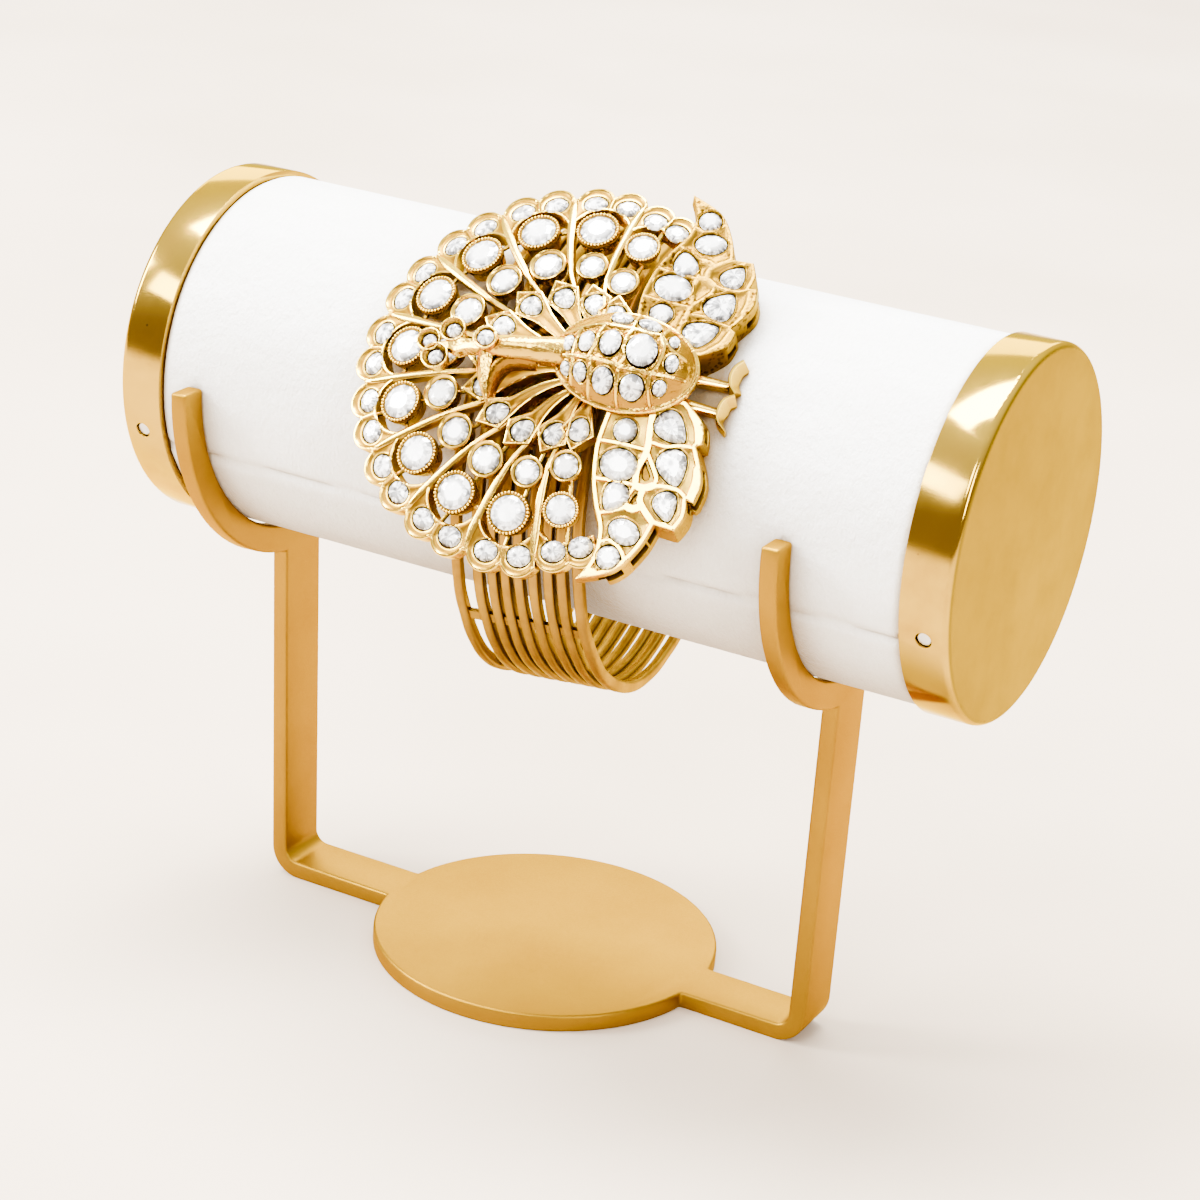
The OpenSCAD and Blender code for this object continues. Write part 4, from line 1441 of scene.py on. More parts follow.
@dataclass
class TailFan:
    """Eleven feathers: beaded cup, plain cup, kite cell and two rim lobes each.

    Attributes:
        root: Point that the feathers spread from.
        aims: Points that the plain cups and the kite cells lie towards.
        feather_step: Angle between neighbouring feathers.
        last_angle: Angle of the two last feathers from the middle one.
        disc_step: Distance from a beaded cup to its plain cup.
        petal_step: Distance from there to the kite cell.
        lobe_angle: Angle from a feather's middle to its rim stones.
        last_border: Angle from a last feather's middle to its free border.
        rim_step_r: Radius of the rim between its lobes.
        last: Number of the last feather, counted from the middle one.
    """

    root: Pair = (-0.5, 0.0)
    aims: tuple[Pair, Pair] = ((3.5, 0.0), (6.5, 0.0))
    eye_r: float = 20.2
    rim_r: float = 25.2
    feather_step: float = 22.6
    last_angle: float = 110.0
    disc_step: float = 5.6
    petal_step: float = 5.9
    lobe_angle: float = 5.15
    last_lobe_angle: float = 4.1
    last_border: float = 8.4
    lobe_size: float = 2.6
    rim_inner_r: float = 20.6
    rim_step_r: float = 26.0
    bottom: float = -3.0
    hub_at: Pair = (7.2, 0.0)
    hub_r: float = 3.6
    rim_top: float = -0.62
    bead_count: int = 36
    bead_r: float = 0.19
    bead_ring_r: float = 2.62
    last: int = 5

    def feathers(self) -> range:
        """Returns the feathers' numbers, from the lowest to the highest."""
        return range(-self.last, self.last + 1)

    def is_last(self, k: int) -> bool:
        """Returns whether feather k is the last on its side."""
        return abs(k) == self.last

    def angle(self, k: int) -> float:
        """Returns the direction of feather k in degrees."""
        spread = self.last_angle if self.is_last(k) else abs(k) * self.feather_step
        return 180 - math.copysign(spread, k)

    def eye_at(self, k: int) -> Array:
        """Returns the middle of feather k's beaded cup."""
        return np.array(self.root) + polar(self.eye_r - (0.4 if self.is_last(k) else 0), self.angle(k))

    def disc_at(self, k: int) -> Array:
        """Returns the middle of feather k's plain cup."""
        return toward(self.eye_at(k), self.aims[0], self.disc_step)

    def petal_at(self, k: int) -> Array:
        """Returns the middle of feather k's kite cell."""
        return toward(self.disc_at(k), self.aims[1], self.petal_step - (0.9 if self.is_last(k) else 0))

    def petal_turn(self, k: int) -> float:
        """Returns the direction from feather k's kite cell to its plain cup."""
        way = self.disc_at(k) - self.petal_at(k)
        return math.degrees(math.atan2(way[1], way[0]))

    def at_eye(self, k: int) -> Matrix:
        """Returns the frame of feather k's beaded cup, smaller on the last feathers."""
        return PLACE.on_dome(self.eye_at(k)) @ Matrix.Scale(0.82 if self.is_last(k) else 1.0, 4)

    def at_disc(self, k: int) -> Matrix:
        """Returns the frame of feather k's plain cup, smaller on the outer feathers."""
        return sunk(PLACE.on_dome(self.disc_at(k)), 0.2) @ Matrix.Scale(0.86 if abs(k) > 3 else 1.0, 4)

    def lobe(self, k: int) -> Pair:
        """Returns the angle and the radius of feather k's rim stones."""
        return (self.last_lobe_angle, self.rim_r - 0.6) if self.is_last(k) else (self.lobe_angle, self.rim_r)

    def lobe_place(self, k: int, side: int) -> tuple[Array, float]:
        """Returns the middle of a rim stone and the turn of its long axis."""
        half, radius = self.lobe(k)
        angle = self.angle(k) + side * half
        return np.array(self.root) + polar(radius, angle), angle + 90

    def border(self, k: int, n: int) -> float:
        """Returns the angle from feather k's middle to its border with feather n."""
        if abs(n) > self.last:
            return math.copysign(self.last_border, -k)
        return (self.angle(n) - self.angle(k)) / 2

    def tile_outline(self, k: int) -> Array:
        """Finds the outline of a feather's piece of the rim.

        Args:
            k: The feather's number.

        Returns:
            The outline, about the fan's root.
        """
        low, high = self.border(k, k + 1) - 0.25, self.border(k, k - 1) + 0.25
        half, lobe_r = self.lobe(k)
        step_r, notch = (self.rim_step_r - 0.5, 3.5) if self.is_last(k) else (self.rim_step_r, 3.9)
        outer, inner = [], []
        for a in np.linspace(low, high, 64):
            reach = step_r
            for side in (-1, 1):
                away = math.radians(a - side * half)
                across = lobe_r * math.sin(away)
                if abs(across) < self.lobe_size and abs(away) < math.radians(half + 4):
                    reach = max(reach, lobe_r * math.cos(away) + math.sqrt(self.lobe_size**2 - across**2))
            outer.append(polar(reach, a))
            across = self.eye_r * math.sin(math.radians(a))
            near = self.rim_inner_r
            if abs(across) < notch:
                near = max(near, self.eye_r * math.cos(math.radians(a)) + math.sqrt(notch**2 - across**2))
            if self.is_last(k) and a * k < 0:
                near = max(near, 23.6)
            inner.append(polar(near, a))
        return counter_clockwise(np.array([*outer, *reversed(inner)]))

    def add_rim_tile(self, shells: Shells, k: int) -> None:
        """Adds a feather's two rim lobes: raised lips, a crease between and dished fields.

        Args:
            shells: Shells that it joins.
            k: The feather's number.
        """
        outline = resample(self.tile_outline(k), 0.24, True)
        half, lobe_r = self.lobe(k)
        stones = [Stone(tuple(polar(lobe_r, s * half)), *RIM_STONE, 90 + s * half).placed_outline(28)
                  for s in (-1, 1)]
        crease = np.array([polar(r, 0) for r in np.linspace(self.rim_inner_r, self.rim_step_r + 1.5, 24)])
        cells = Cells(outline, stones, [(crease, 0.26)], lip_w=0.34, wall=0.18, depth=0.28, bezel=0.05)
        sides = [np.array([polar(r, self.border(k, n)) for r in (19, 29)]) for n in (k + 1, k - 1)]

        def flush(points: Array) -> Array:
            """Returns 1 inside the tile, falling to 0 where it meets its neighbours."""
            return step(np.min([line_distance(points, line, False) for line in sides], axis=0), 0.1, 0.4)

        plate = Relief(outline, self.bottom, 0.21, cells.guides())
        points, faces, polish = plate.shell(lambda p: self.rim_top - cells.drop(p) - 0.1 * (1 - flush(p)),
                                            cells.polish)
        there = shift(*self.root, 0) @ turn(self.angle(k), "Z")
        shells.add(PLACE.lift(moved(points, there)), faces, polish)

    def petal_stone(self, k: int) -> Stone:
        """Returns the stone of feather k's kite cell, its tip towards the tail."""
        return Stone(tuple(self.petal_at(k)), 3.1, 2.75, self.petal_turn(k) + 180, 0.35)

    def petal_outline(self, k: int) -> Array:
        """Finds the outline of a feather's kite cell with its tail.

        Args:
            k: The feather's number.

        Returns:
            The outline, in the plaque's plane.
        """
        at, ahead = self.petal_at(k), polar(1, self.petal_turn(k))
        across = polar(1, self.petal_turn(k) + 90)
        goal = toward(np.array(self.hub_at), at, 0.75 * self.hub_r)
        bend = 0.3 if k > 0 else -1.35 + 0.25 * abs(k) if k < 0 else 0.0
        way = goal - (at - 2.2 * ahead)
        stations = np.linspace(0, 1, 13)
        spine = [at - 2.2 * ahead + t * way + bend * math.sin(math.pi * t) * across for t in stations]
        broad = 1.35 if k > -2 else 1.1
        halves = broad + (0.25 - broad) * stations ** 0.65
        left = [p + h * across for p, h in zip(spine, halves)]
        right = [p - h * across for p, h in zip(spine, halves)]
        tip, shoulder = at + 3.0 * ahead, at + 0.5 * ahead
        outline = [tip, shoulder + 2.25 * across, *left, *reversed(right), shoulder - 2.25 * across]
        return counter_clockwise(np.array(outline))

    def add_petal(self, shells: Shells, k: int) -> None:
        """Adds feather k's kite cell: a crisp raised edge falling to the stone."""
        outline = resample(self.petal_outline(k), 0.22, True)
        stone = self.petal_stone(k).placed_outline(28)
        cells = Cells(outline, [stone], lip_w=0.26, wall=0.14, depth=0.5, edge=0.04)
        plate = Relief(outline, -2.5, 0.19, cells.guides())
        points, faces, polish = plate.shell(lambda p: -0.25 - cells.drop(p), cells.polish)
        shells.add(PLACE.lift(points), faces, polish)

    def add_rib(self, shells: Shells, k: int) -> None:
        """Adds the rib between two feathers.

        Args:
            shells: Shells that it joins.
            k: The first feather's number.
        """
        angle = (self.angle(k) + self.angle(k + 1)) / 2
        start = np.array(self.root) + polar(25.6, angle)
        rim = np.array(self.root) + polar(22.4, angle)
        mid = (self.disc_at(k) + self.disc_at(k + 1)) / 2
        end = toward((self.petal_at(k) + self.petal_at(k + 1)) / 2, mid, -0.6)
        line = smooth_line([start, rim, mid, end], 7)
        t = np.linspace(0, 1, len(line))
        widths = np.interp(t, [0, 0.1, 0.3, 0.5, 1], [0.5, 0.8, 1.25, 1.15, 0.55])
        shells.bar(line, widths, RIB)

    def add_pins(self, shells: Shells, k: int) -> None:
        """Adds the small pins that hold a feather's cups.

        Args:
            shells: Shells that it joins.
            k: The feather's number.
        """
        eye, out, side = self.eye_at(k), polar(1, self.angle(k)), polar(1, self.angle(k) + 90)
        inner = toward(self.petal_at(k), self.disc_at(k), 1.8)
        right, left = (0 if k == self.last else 3.6), (0 if k == -self.last else 3.6)
        level = -1.3
        for a, b in ((inner, eye + 4.2 * out), (eye - right * side, eye + left * side)):
            section = [(math.cos(t), level + 0.3 * math.sin(t), 0.6) for t in np.arange(8) * math.pi / 4]
            shells.bar(np.linspace(a, b, 6), np.full(6, 0.6), section)

    def bead_points(self) -> Array:
        """Returns the middles of the beads round the large cups, in the plaque's frame."""
        t = 2 * math.pi * np.arange(self.bead_count) / self.bead_count
        r = self.bead_ring_r
        ring = np.stack([r * np.cos(t), r * np.sin(t), np.full(len(t), -0.03)], axis=1)
        return np.concatenate([moved(ring, self.at_eye(k)) for k in self.feathers()])

    def build(self, finish: Material) -> None:
        """Builds the fan and its beads.

        Args:
            finish: Its material.
        """
        shells = Shells()
        hub = PLACE.on_dome(np.array(self.hub_at), self.bottom)
        shells.lathe(HUB, 48, hub)
        for k in self.feathers():
            self.add_rim_tile(shells, k)
            shells.lathe(EYE_CUP, 48, self.at_eye(k))
            shells.lathe(DISC_CUP, 48, self.at_disc(k))
            self.add_petal(shells, k)
            self.add_pins(shells, k)
            if k < self.last:
                self.add_rib(shells, k)
        jewel("peacock_fan", shells, finish, "tail_fan", 38)
        dress(milgrain("cup_beads", self.bead_points(), self.bead_r, finish), Slot.GOLD)

    def build_stones(self, milky: Material, clear: Material) -> None:
        """Sets the fan's stones.

        Args:
            milky: Material of the large stones.
            clear: Material of the small ones.
        """
        for k in self.feathers():
            shells, number = Shells(), k + self.last + 1
            EYE_CUT.add_to(shells, Stone((0, 0), 4.5, 4.5), sunk(self.at_eye(k), 0.06), k + 9)
            set_stones(f"eye_crystal_{number}", shells, milky, f"eye_stone_{number}")
        discs, petals, rims = Shells(), Shells(), Shells()
        for k in self.feathers():
            DISC_CUT.add_to(discs, Stone((0, 0), 3.7, 3.7), sunk(self.at_disc(k), 0.34), k + 30)
            stone = self.petal_stone(k)
            petal = PLACE.on_dome(self.petal_at(k), 0, stone.turn)
            FEATHER_CUT.add_to(petals, stone, sunk(petal, 0.72), k + 60)
            for side in (-1, 1):
                at, spin = self.lobe_place(k, side)
                lobe = sunk(PLACE.on_dome(at, 0, spin), 1.02)
                FEATHER_CUT.add_to(rims, Stone((0, 0), *RIM_STONE), lobe, 3 * k + side + 90)
        set_stones("disc_crystals", discs, milky, "disc_stones")
        set_stones("petal_crystals", petals, clear, "petal_stones")
        set_stones("rim_crystals", rims, clear, "rim_stones")


def milgrain(name: str, points: Array, radius: float, finish: Material) -> Piece:
    """Sets a small bead on each point.

    Args:
        name: The object's name.
        points: Middles of the beads, in the plaque's frame.
        radius: Radius of a bead.
        finish: The beads' material.

    Returns:
        The beads as one object.
    """
    g = Pattern("milgrain", "Bead radius")
    bead = g.add("GeometryNodeMeshIcoSphere", {"Subdivisions": 2, "Radius": g.given["Bead radius"]})
    g.finish(g.on_points(bead.outputs["Mesh"]), finish)
    beads = g.run(name, moved(points, PLACE.plaque()), {"Bead radius": radius})
    beads.transform(Matrix.Scale(MM, 4))
    shine = beads.attributes.new("polish", "FLOAT", "POINT")
    shine.data.foreach_set("value", np.ones(len(beads.vertices), np.float32))
    return link(name, beads, finish, 60)


# The wings

# Strokes of the outline, from the body round: x and y of their points
WING_STROKES = (
    ((9.6, 3.2), (8.8, 9.5), (8.95, 12.5), (9.5, 15.2), (10.5, 17.8), (11.8, 20.6), (11.9, 24.0),
     (10.6, 26.9)),
    ((10.6, 26.9), (14.9, 25.0), (17.3, 21.6), (18.3, 18.6)),
    ((18.3, 18.6), (20.9, 18.8)),
    ((20.9, 18.8), (21.7, 16.9), (21.5, 14.9)),
    ((21.5, 14.9), (22.4, 15.1)),
    ((22.4, 15.1), (22.7, 12.2), (21.0, 8.4)),
    ((21.0, 8.4), (21.7, 8.0)),
    ((21.7, 8.0), (21.1, 5.6), (18.4, 3.4)),
    ((18.4, 3.4), (13.0, 2.6), (9.6, 3.2)),
)
# Lines between the cells: width, x and y of their points
WING_LINES = (
    (0.85, ((14.6, 3.4), (14.9, 7.5), (15.2, 10.2), (14.6, 12.6), (14.9, 14.6))),
    (0.55, ((15.2, 10.2), (16.2, 11.6), (17.2, 13.2), (17.0, 14.1))),
    (0.95, ((17.0, 14.1), (16.0, 14.6), (14.9, 14.6))),
    (0.5, ((14.9, 14.6), (14.2, 16.2), (14.4, 17.2))),
    (0.95, ((14.4, 17.2), (15.3, 17.3), (16.2, 16.8))),
    (0.85, ((15.9, 14.8), (16.0, 16.4), (18.1, 18.4))),
    (0.45, ((8.9, 10.1), (12.0, 10.0), (15.0, 10.1))),
    (0.45, ((9.3, 14.7), (12.5, 14.5), (14.6, 14.5))),
    (0.45, ((10.9, 18.8), (13.0, 18.0), (14.6, 17.2))),
    (0.5, ((12.2, 22.1), (13.6, 21.6), (15.1, 22.4), (16.0, 23.6))),
    (0.45, ((15.2, 9.0), (17.2, 9.2), (19.3, 8.7), (21.0, 8.6))),
    (0.5, ((16.8, 14.2), (18.2, 13.9), (20.2, 14.0), (21.6, 14.9))),
    (1.1, ((19.4, 4.3), (20.6, 5.9), (21.2, 7.7))),
    (0.9, ((21.8, 11.0), (22.0, 12.6), (21.8, 14.4))),
    (1.2, ((11.4, 26.2), (12.4, 25.7))),
)
# Small pits beside them: x and y of their corners
WING_PITS = (
    ((15.35, 11.4), (15.8, 12.2), (16.35, 13.1), (16.0, 13.7), (15.4, 13.4), (15.15, 12.4)),
    ((15.4, 15.2), (15.5, 15.9), (15.0, 16.8), (14.7, 16.5), (14.9, 15.9)),
)
# The hollow below: x and y of its corners
WING_HOLLOW = ((10.5, 4.1), (9.9, 9.6), (12.9, 20.2), (12.2, 24.8), (14.3, 23.9), (16.4, 21.1), (17.4, 17.8),
               (19.9, 17.8), (20.5, 14.2), (21.4, 12.2), (19.9, 8.2), (20.3, 6.2), (17.9, 4.3), (13.0, 3.5))
# Slots in the side: stroke, place along it, length
WING_SLOTS = ((1, 0.3, 3.0), (1, 0.63, 2.8), (1, 0.86, 2.0), (3, 0.8, 1.2), (5, 0.14, 2.2), (5, 0.52, 3.0),
              (7, 0.3, 1.8))


@dataclass
class Wing:
    """One wing: a hollow plate of dished cells with slots in its side.

    Attributes:
        lower: Whether it is the lower wing, the mirrored one.
        crisp: Height of its lips and lines above the cells.
        shoulder: Where their shoulders start and end.
        slot_z: Upper and lower height of the slots in its side.
        middle: Where its plane touches the dome.
        ceiling: Height of its hollow.
        girdle: Height of its stones' girdles.
        flare: How far its side runs outward for each millimetre down.
        lap_top: Height of its lower edge where it laps over the last feather.
        stretch: How much longer the lower wing is than the upper one.
        fixed_y: Place that the stretch leaves alone.
    """

    lower: bool
    crisp: float
    shoulder: Pair
    slot_z: Pair
    middle: Pair = (15.5, 15.0)
    top: float = 1.5
    bottom: float = -3.2
    ceiling: float = -0.2
    girdle: float = 1.12
    slot_depth: float = 0.6
    flare: float = 0.11
    lap_top: float = -0.5
    stretch: float = 1.05
    fixed_y: float = 26.0
    stones: Sequence[Stone] = (
        Stone((11.9, 8.3), 2.9, 2.9), Stone((12.2, 12.5), 4.7, 3.9),
        Stone((12.7, 16.4), 3.7, 3.2, 110, 0.5), Stone((14.9, 20.2), 4.0, 3.0, 15),
        Stone((13.8, 23.6), 2.9, 2.9), Stone((17.5, 6.9), 4.6, 3.6, 35, 0.6),
        Stone((18.8, 11.5), 4.5, 3.8, 64, 0.6), Stone((19.1, 16.2), 3.6, 3.0, 66, 0.6))

    def side(self) -> str:
        """Returns the wing's side for names."""
        return "lower" if self.lower else "upper"

    def frame(self) -> Matrix:
        """Returns the wing's frame in the plaque's, mirrored for the lower wing."""
        x, y = self.middle
        upper = PLACE.on_dome(np.array(self.middle)) @ shift(-x, -y, 0)
        if not self.lower:
            return upper
        longer = shift(0, self.fixed_y, 0) @ Matrix.Scale(self.stretch, 4, (0, 1, 0))
        return Matrix.Scale(-1, 4, (0, 1, 0)) @ upper @ longer @ shift(0, -self.fixed_y, 0)

    def outline(self) -> tuple[Array, Array]:
        """Returns the outline and how far each point lies in a slot."""
        curves = [smooth_line(s, 8) if len(s) > 2 else np.array(s) for s in WING_STROKES]
        border = counter_clockwise(resample(np.concatenate([c[:-1] for c in curves]), 0.2, True))
        along = lengths(border)
        slots = []
        for stroke, place, length in WING_SLOTS:
            at = curves[stroke][round(place * (len(curves[stroke]) - 1))]
            slots.append((along[np.argmin(np.linalg.norm(border - at, axis=1))], length / 2))
        stops = [m + side * reach for m, half in slots for side in (-1, 1) for reach in (half, half + 0.04)]
        points, places = with_stops(border, stops)
        inside = np.any([np.abs(places - m) < half + 0.01 for m, half in slots], axis=0)
        return points, inside.astype(float)

    def lap(self, points: Array) -> Array:
        """Returns the height of the lower edge, raised where it laps over the last feather."""
        fan = TailFan()
        way = points - np.array(fan.root)
        angle = np.degrees(np.arctan2(way[:, 1], way[:, 0])) - fan.angle(fan.last)
        lapped = (np.abs(angle) < 9.5) & (np.linalg.norm(way, axis=1) > 18)
        return np.where(lapped, self.lap_top, self.bottom)

    def build(self, finish: Material) -> Piece:
        """Builds the wing.

        Args:
            finish: Its material.

        Returns:
            The wing.
        """
        outline, slot = self.outline()
        lines = [(smooth_line(points, 6), width) for width, points in WING_LINES]
        pits = [resample(smooth_line([*p, p[0]], 3)[:-1], 0.15, True) for p in WING_PITS if self.lower]
        cells = Cells(outline, [s.placed_outline(32) for s in self.stones], lines, pits, lip_w=0.55,
                      matte=0.45, wall=self.crisp, depth=0.3, shoulder=self.shoulder)
        upper, lower = self.slot_z
        depth = self.slot_depth * slot
        rows = [(upper + 0.02, 0 * depth), (upper, depth), (lower, depth), (lower - 0.02, 0 * depth)]
        hollow = resample(np.array(WING_HOLLOW), 0.8, True)
        plate = Relief(outline, self.lap, 0.17, cells.guides(), rows, (hollow, self.ceiling), self.flare)
        points, faces, polish = plate.shell(lambda p: self.top - cells.drop(p), cells.polish)
        shells = Shells()
        shells.add(moved(points, self.frame()), faces, polish)
        return jewel(f"{self.side()}_wing", shells, finish, f"wing_{self.side()}", 32)

    def build_stones(self, finishes: Sequence[Material]) -> None:
        """Sets the wing's stones, each a piece of its own.

        Args:
            finishes: Material of the round stones, and of the pears.
        """
        for number, stone in enumerate(self.stones, 1):
            shells = Shells()
            spot = self.frame() @ shift(*stone.at, self.girdle) @ turn(stone.turn, "Z")
            WING_CUT.add_to(shells, stone, spot, number + 100 * self.lower)
            own = f"{self.side()}_{number}"
            set_stones(f"wing_crystal_{own}", shells, finishes[stone.pear > 0.55], f"wing_stone_{own}")


# The bird

# Ridges between the body's stones: width, x and y of their points
BODY_RIDGES = (
    (0.5, ((0.6, -1.3), (3.8, -1.4), (6.9, -1.5), (8.8, -1.6), (10.6, -1.8), (12.6, -1.9), (14.9, -1.7),
           (16.5, -1.4), (18.6, -0.9))),
    (0.4, ((4.9, 2.4), (4.8, 0.8), (4.8, -1.4))),
    (0.45, ((7.8, 3.2), (7.5, 1.8), (7.5, 0.2), (7.0, -1.5))),
    (0.45, ((11.5, 3.5), (11.1, 2.3), (11.1, 0.6), (11.5, -0.7), (10.9, -1.8))),
    (0.4, ((0.4, 1.0), (3.2, 1.8), (5.2, 2.6), (7.6, 3.3), (9.2, 3.35), (11.6, 3.45), (13.2, 3.4),
           (14.8, 3.6), (16.3, 2.2), (18.2, 1.6))),
    (0.45, ((14.8, 3.6), (15.6, 2.3), (15.7, 1.0), (15.5, -0.7), (14.9, -1.7))),
    (0.4, ((4.9, -1.4), (4.9, -4.4))),
    (0.45, ((7.4, -1.5), (7.5, -3.6), (7.4, -6.2))),
    (0.45, ((11.1, -1.8), (11.1, -3.9), (11.2, -6.6))),
    (0.45, ((14.9, -1.7), (14.9, -3.4), (15.2, -5.7))),
    (0.4, ((11.3, 3.4), (11.2, 6.4))),
    (0.4, ((14.8, 3.6), (15.1, 5.4))),
)
# The body's flange and the block below it: share of the body's radii, height and polish of each ring
BODY_FLANGE = ((0.01, -0.75, 0.4), (0.99, -0.75, 0.4), (1.02, -0.66, 0.5), (1.035, -0.4, 0.6),
               (1.035, 0.0, 0.8), (1.02, 0.14, 1), (1.0, 0.16, 0.6), (0.985, 0.05, 0), (0.01, 0.05, 0))
BODY_BLOCK = ((0.01, -1.6, 0.3), (0.9, -1.6, 0.3), (0.92, -0.7, 0.3), (0.01, -0.7, 0.3))
# Neck and head: x, y, z, half width, half height
NECK_CHART = ((8.0, 0.3, 3.4, 2.3, 2.0), (5.2, 0.2, 3.5, 2.1, 1.9), (3.0, -0.1, 3.9, 1.9, 1.8),
              (0.2, -0.9, 5.0, 1.65, 1.7), (-2.4, -1.25, 5.55, 1.5, 1.5), (-4.6, -1.5, 5.6, 1.45, 1.35),
              (-6.2, -1.6, 5.4, 1.3, 1.2))
THROAT_CHART = ((-0.4, -1.9, 3.6, 0.9, 1.5), (-2.6, -2.3, 4.0, 0.95, 1.4), (-4.5, -3.0, 3.9, 0.95, 1.5),
                (-5.5, -4.8, 3.3, 0.8, 1.5), (-5.6, -7.2, 2.4, 0.4, 1.0))
BEAK_CHART = ((-6.5, -1.9, 5.0, 1.4, 1.4), (-6.6, -3.6, 4.7, 1.4, 1.3), (-6.2, -6.2, 3.9, 0.7, 0.8),
              (-5.3, -8.6, 2.9, 0.1, 0.1))
WEB_CHART = ((-6.2, -1.5, 4.9, 0.95, 1.1), (-8.2, -1.6, 4.5, 0.8, 1.0), (-9.8, -1.6, 4.1, 0.85, 0.9),
             (-11.0, -1.7, 3.85, 1.15, 0.85), (-12.2, -1.8, 3.75, 0.7, 0.85), (-13.2, -1.85, 3.7, 0.25, 0.8))


@dataclass(frozen=True)
class Collet:
    """A round cup for a stone.

    Attributes:
        rim_z: Height of its rim.
        radius: Outer radius.
        depth: Depth of the cup's body.
        sink: Depth of the stone's girdle below the rim.
    """

    at: Pair
    rim_z: float
    radius: float
    depth: float
    stone_d: float
    sink: float = 0.7

    def place(self) -> Matrix:
        """Returns the frame of the rim."""
        return shift(*self.at, self.rim_z)

    def add_to(self, shells: Shells) -> None:
        """Adds the cup."""
        r, hole, sink = self.radius, self.stone_d / 2 + 0.08, self.sink
        # polish below zero is painted shade in the bore below the stone
        profile = [(0.05, -self.depth, 0.3), (r - 0.4, -self.depth, 0.3), (r - 0.22, -1.2, 0.4),
                   (r - 0.06, -0.6, 0.6), (r, -0.3, 0.8), (r, -0.12, 1), (r - 0.05, -0.02, 1),
                   (r - 0.13, 0.0, 1), (r - 0.2, -0.03, 1), (r - 0.26, -0.15, 0.5),
                   (hole + 0.04, 0.06 - sink, 0), (hole, -sink - 0.15, -0.8), (0.05, -sink - 0.2, -0.8)]
        shells.lathe(profile, 44, self.place())


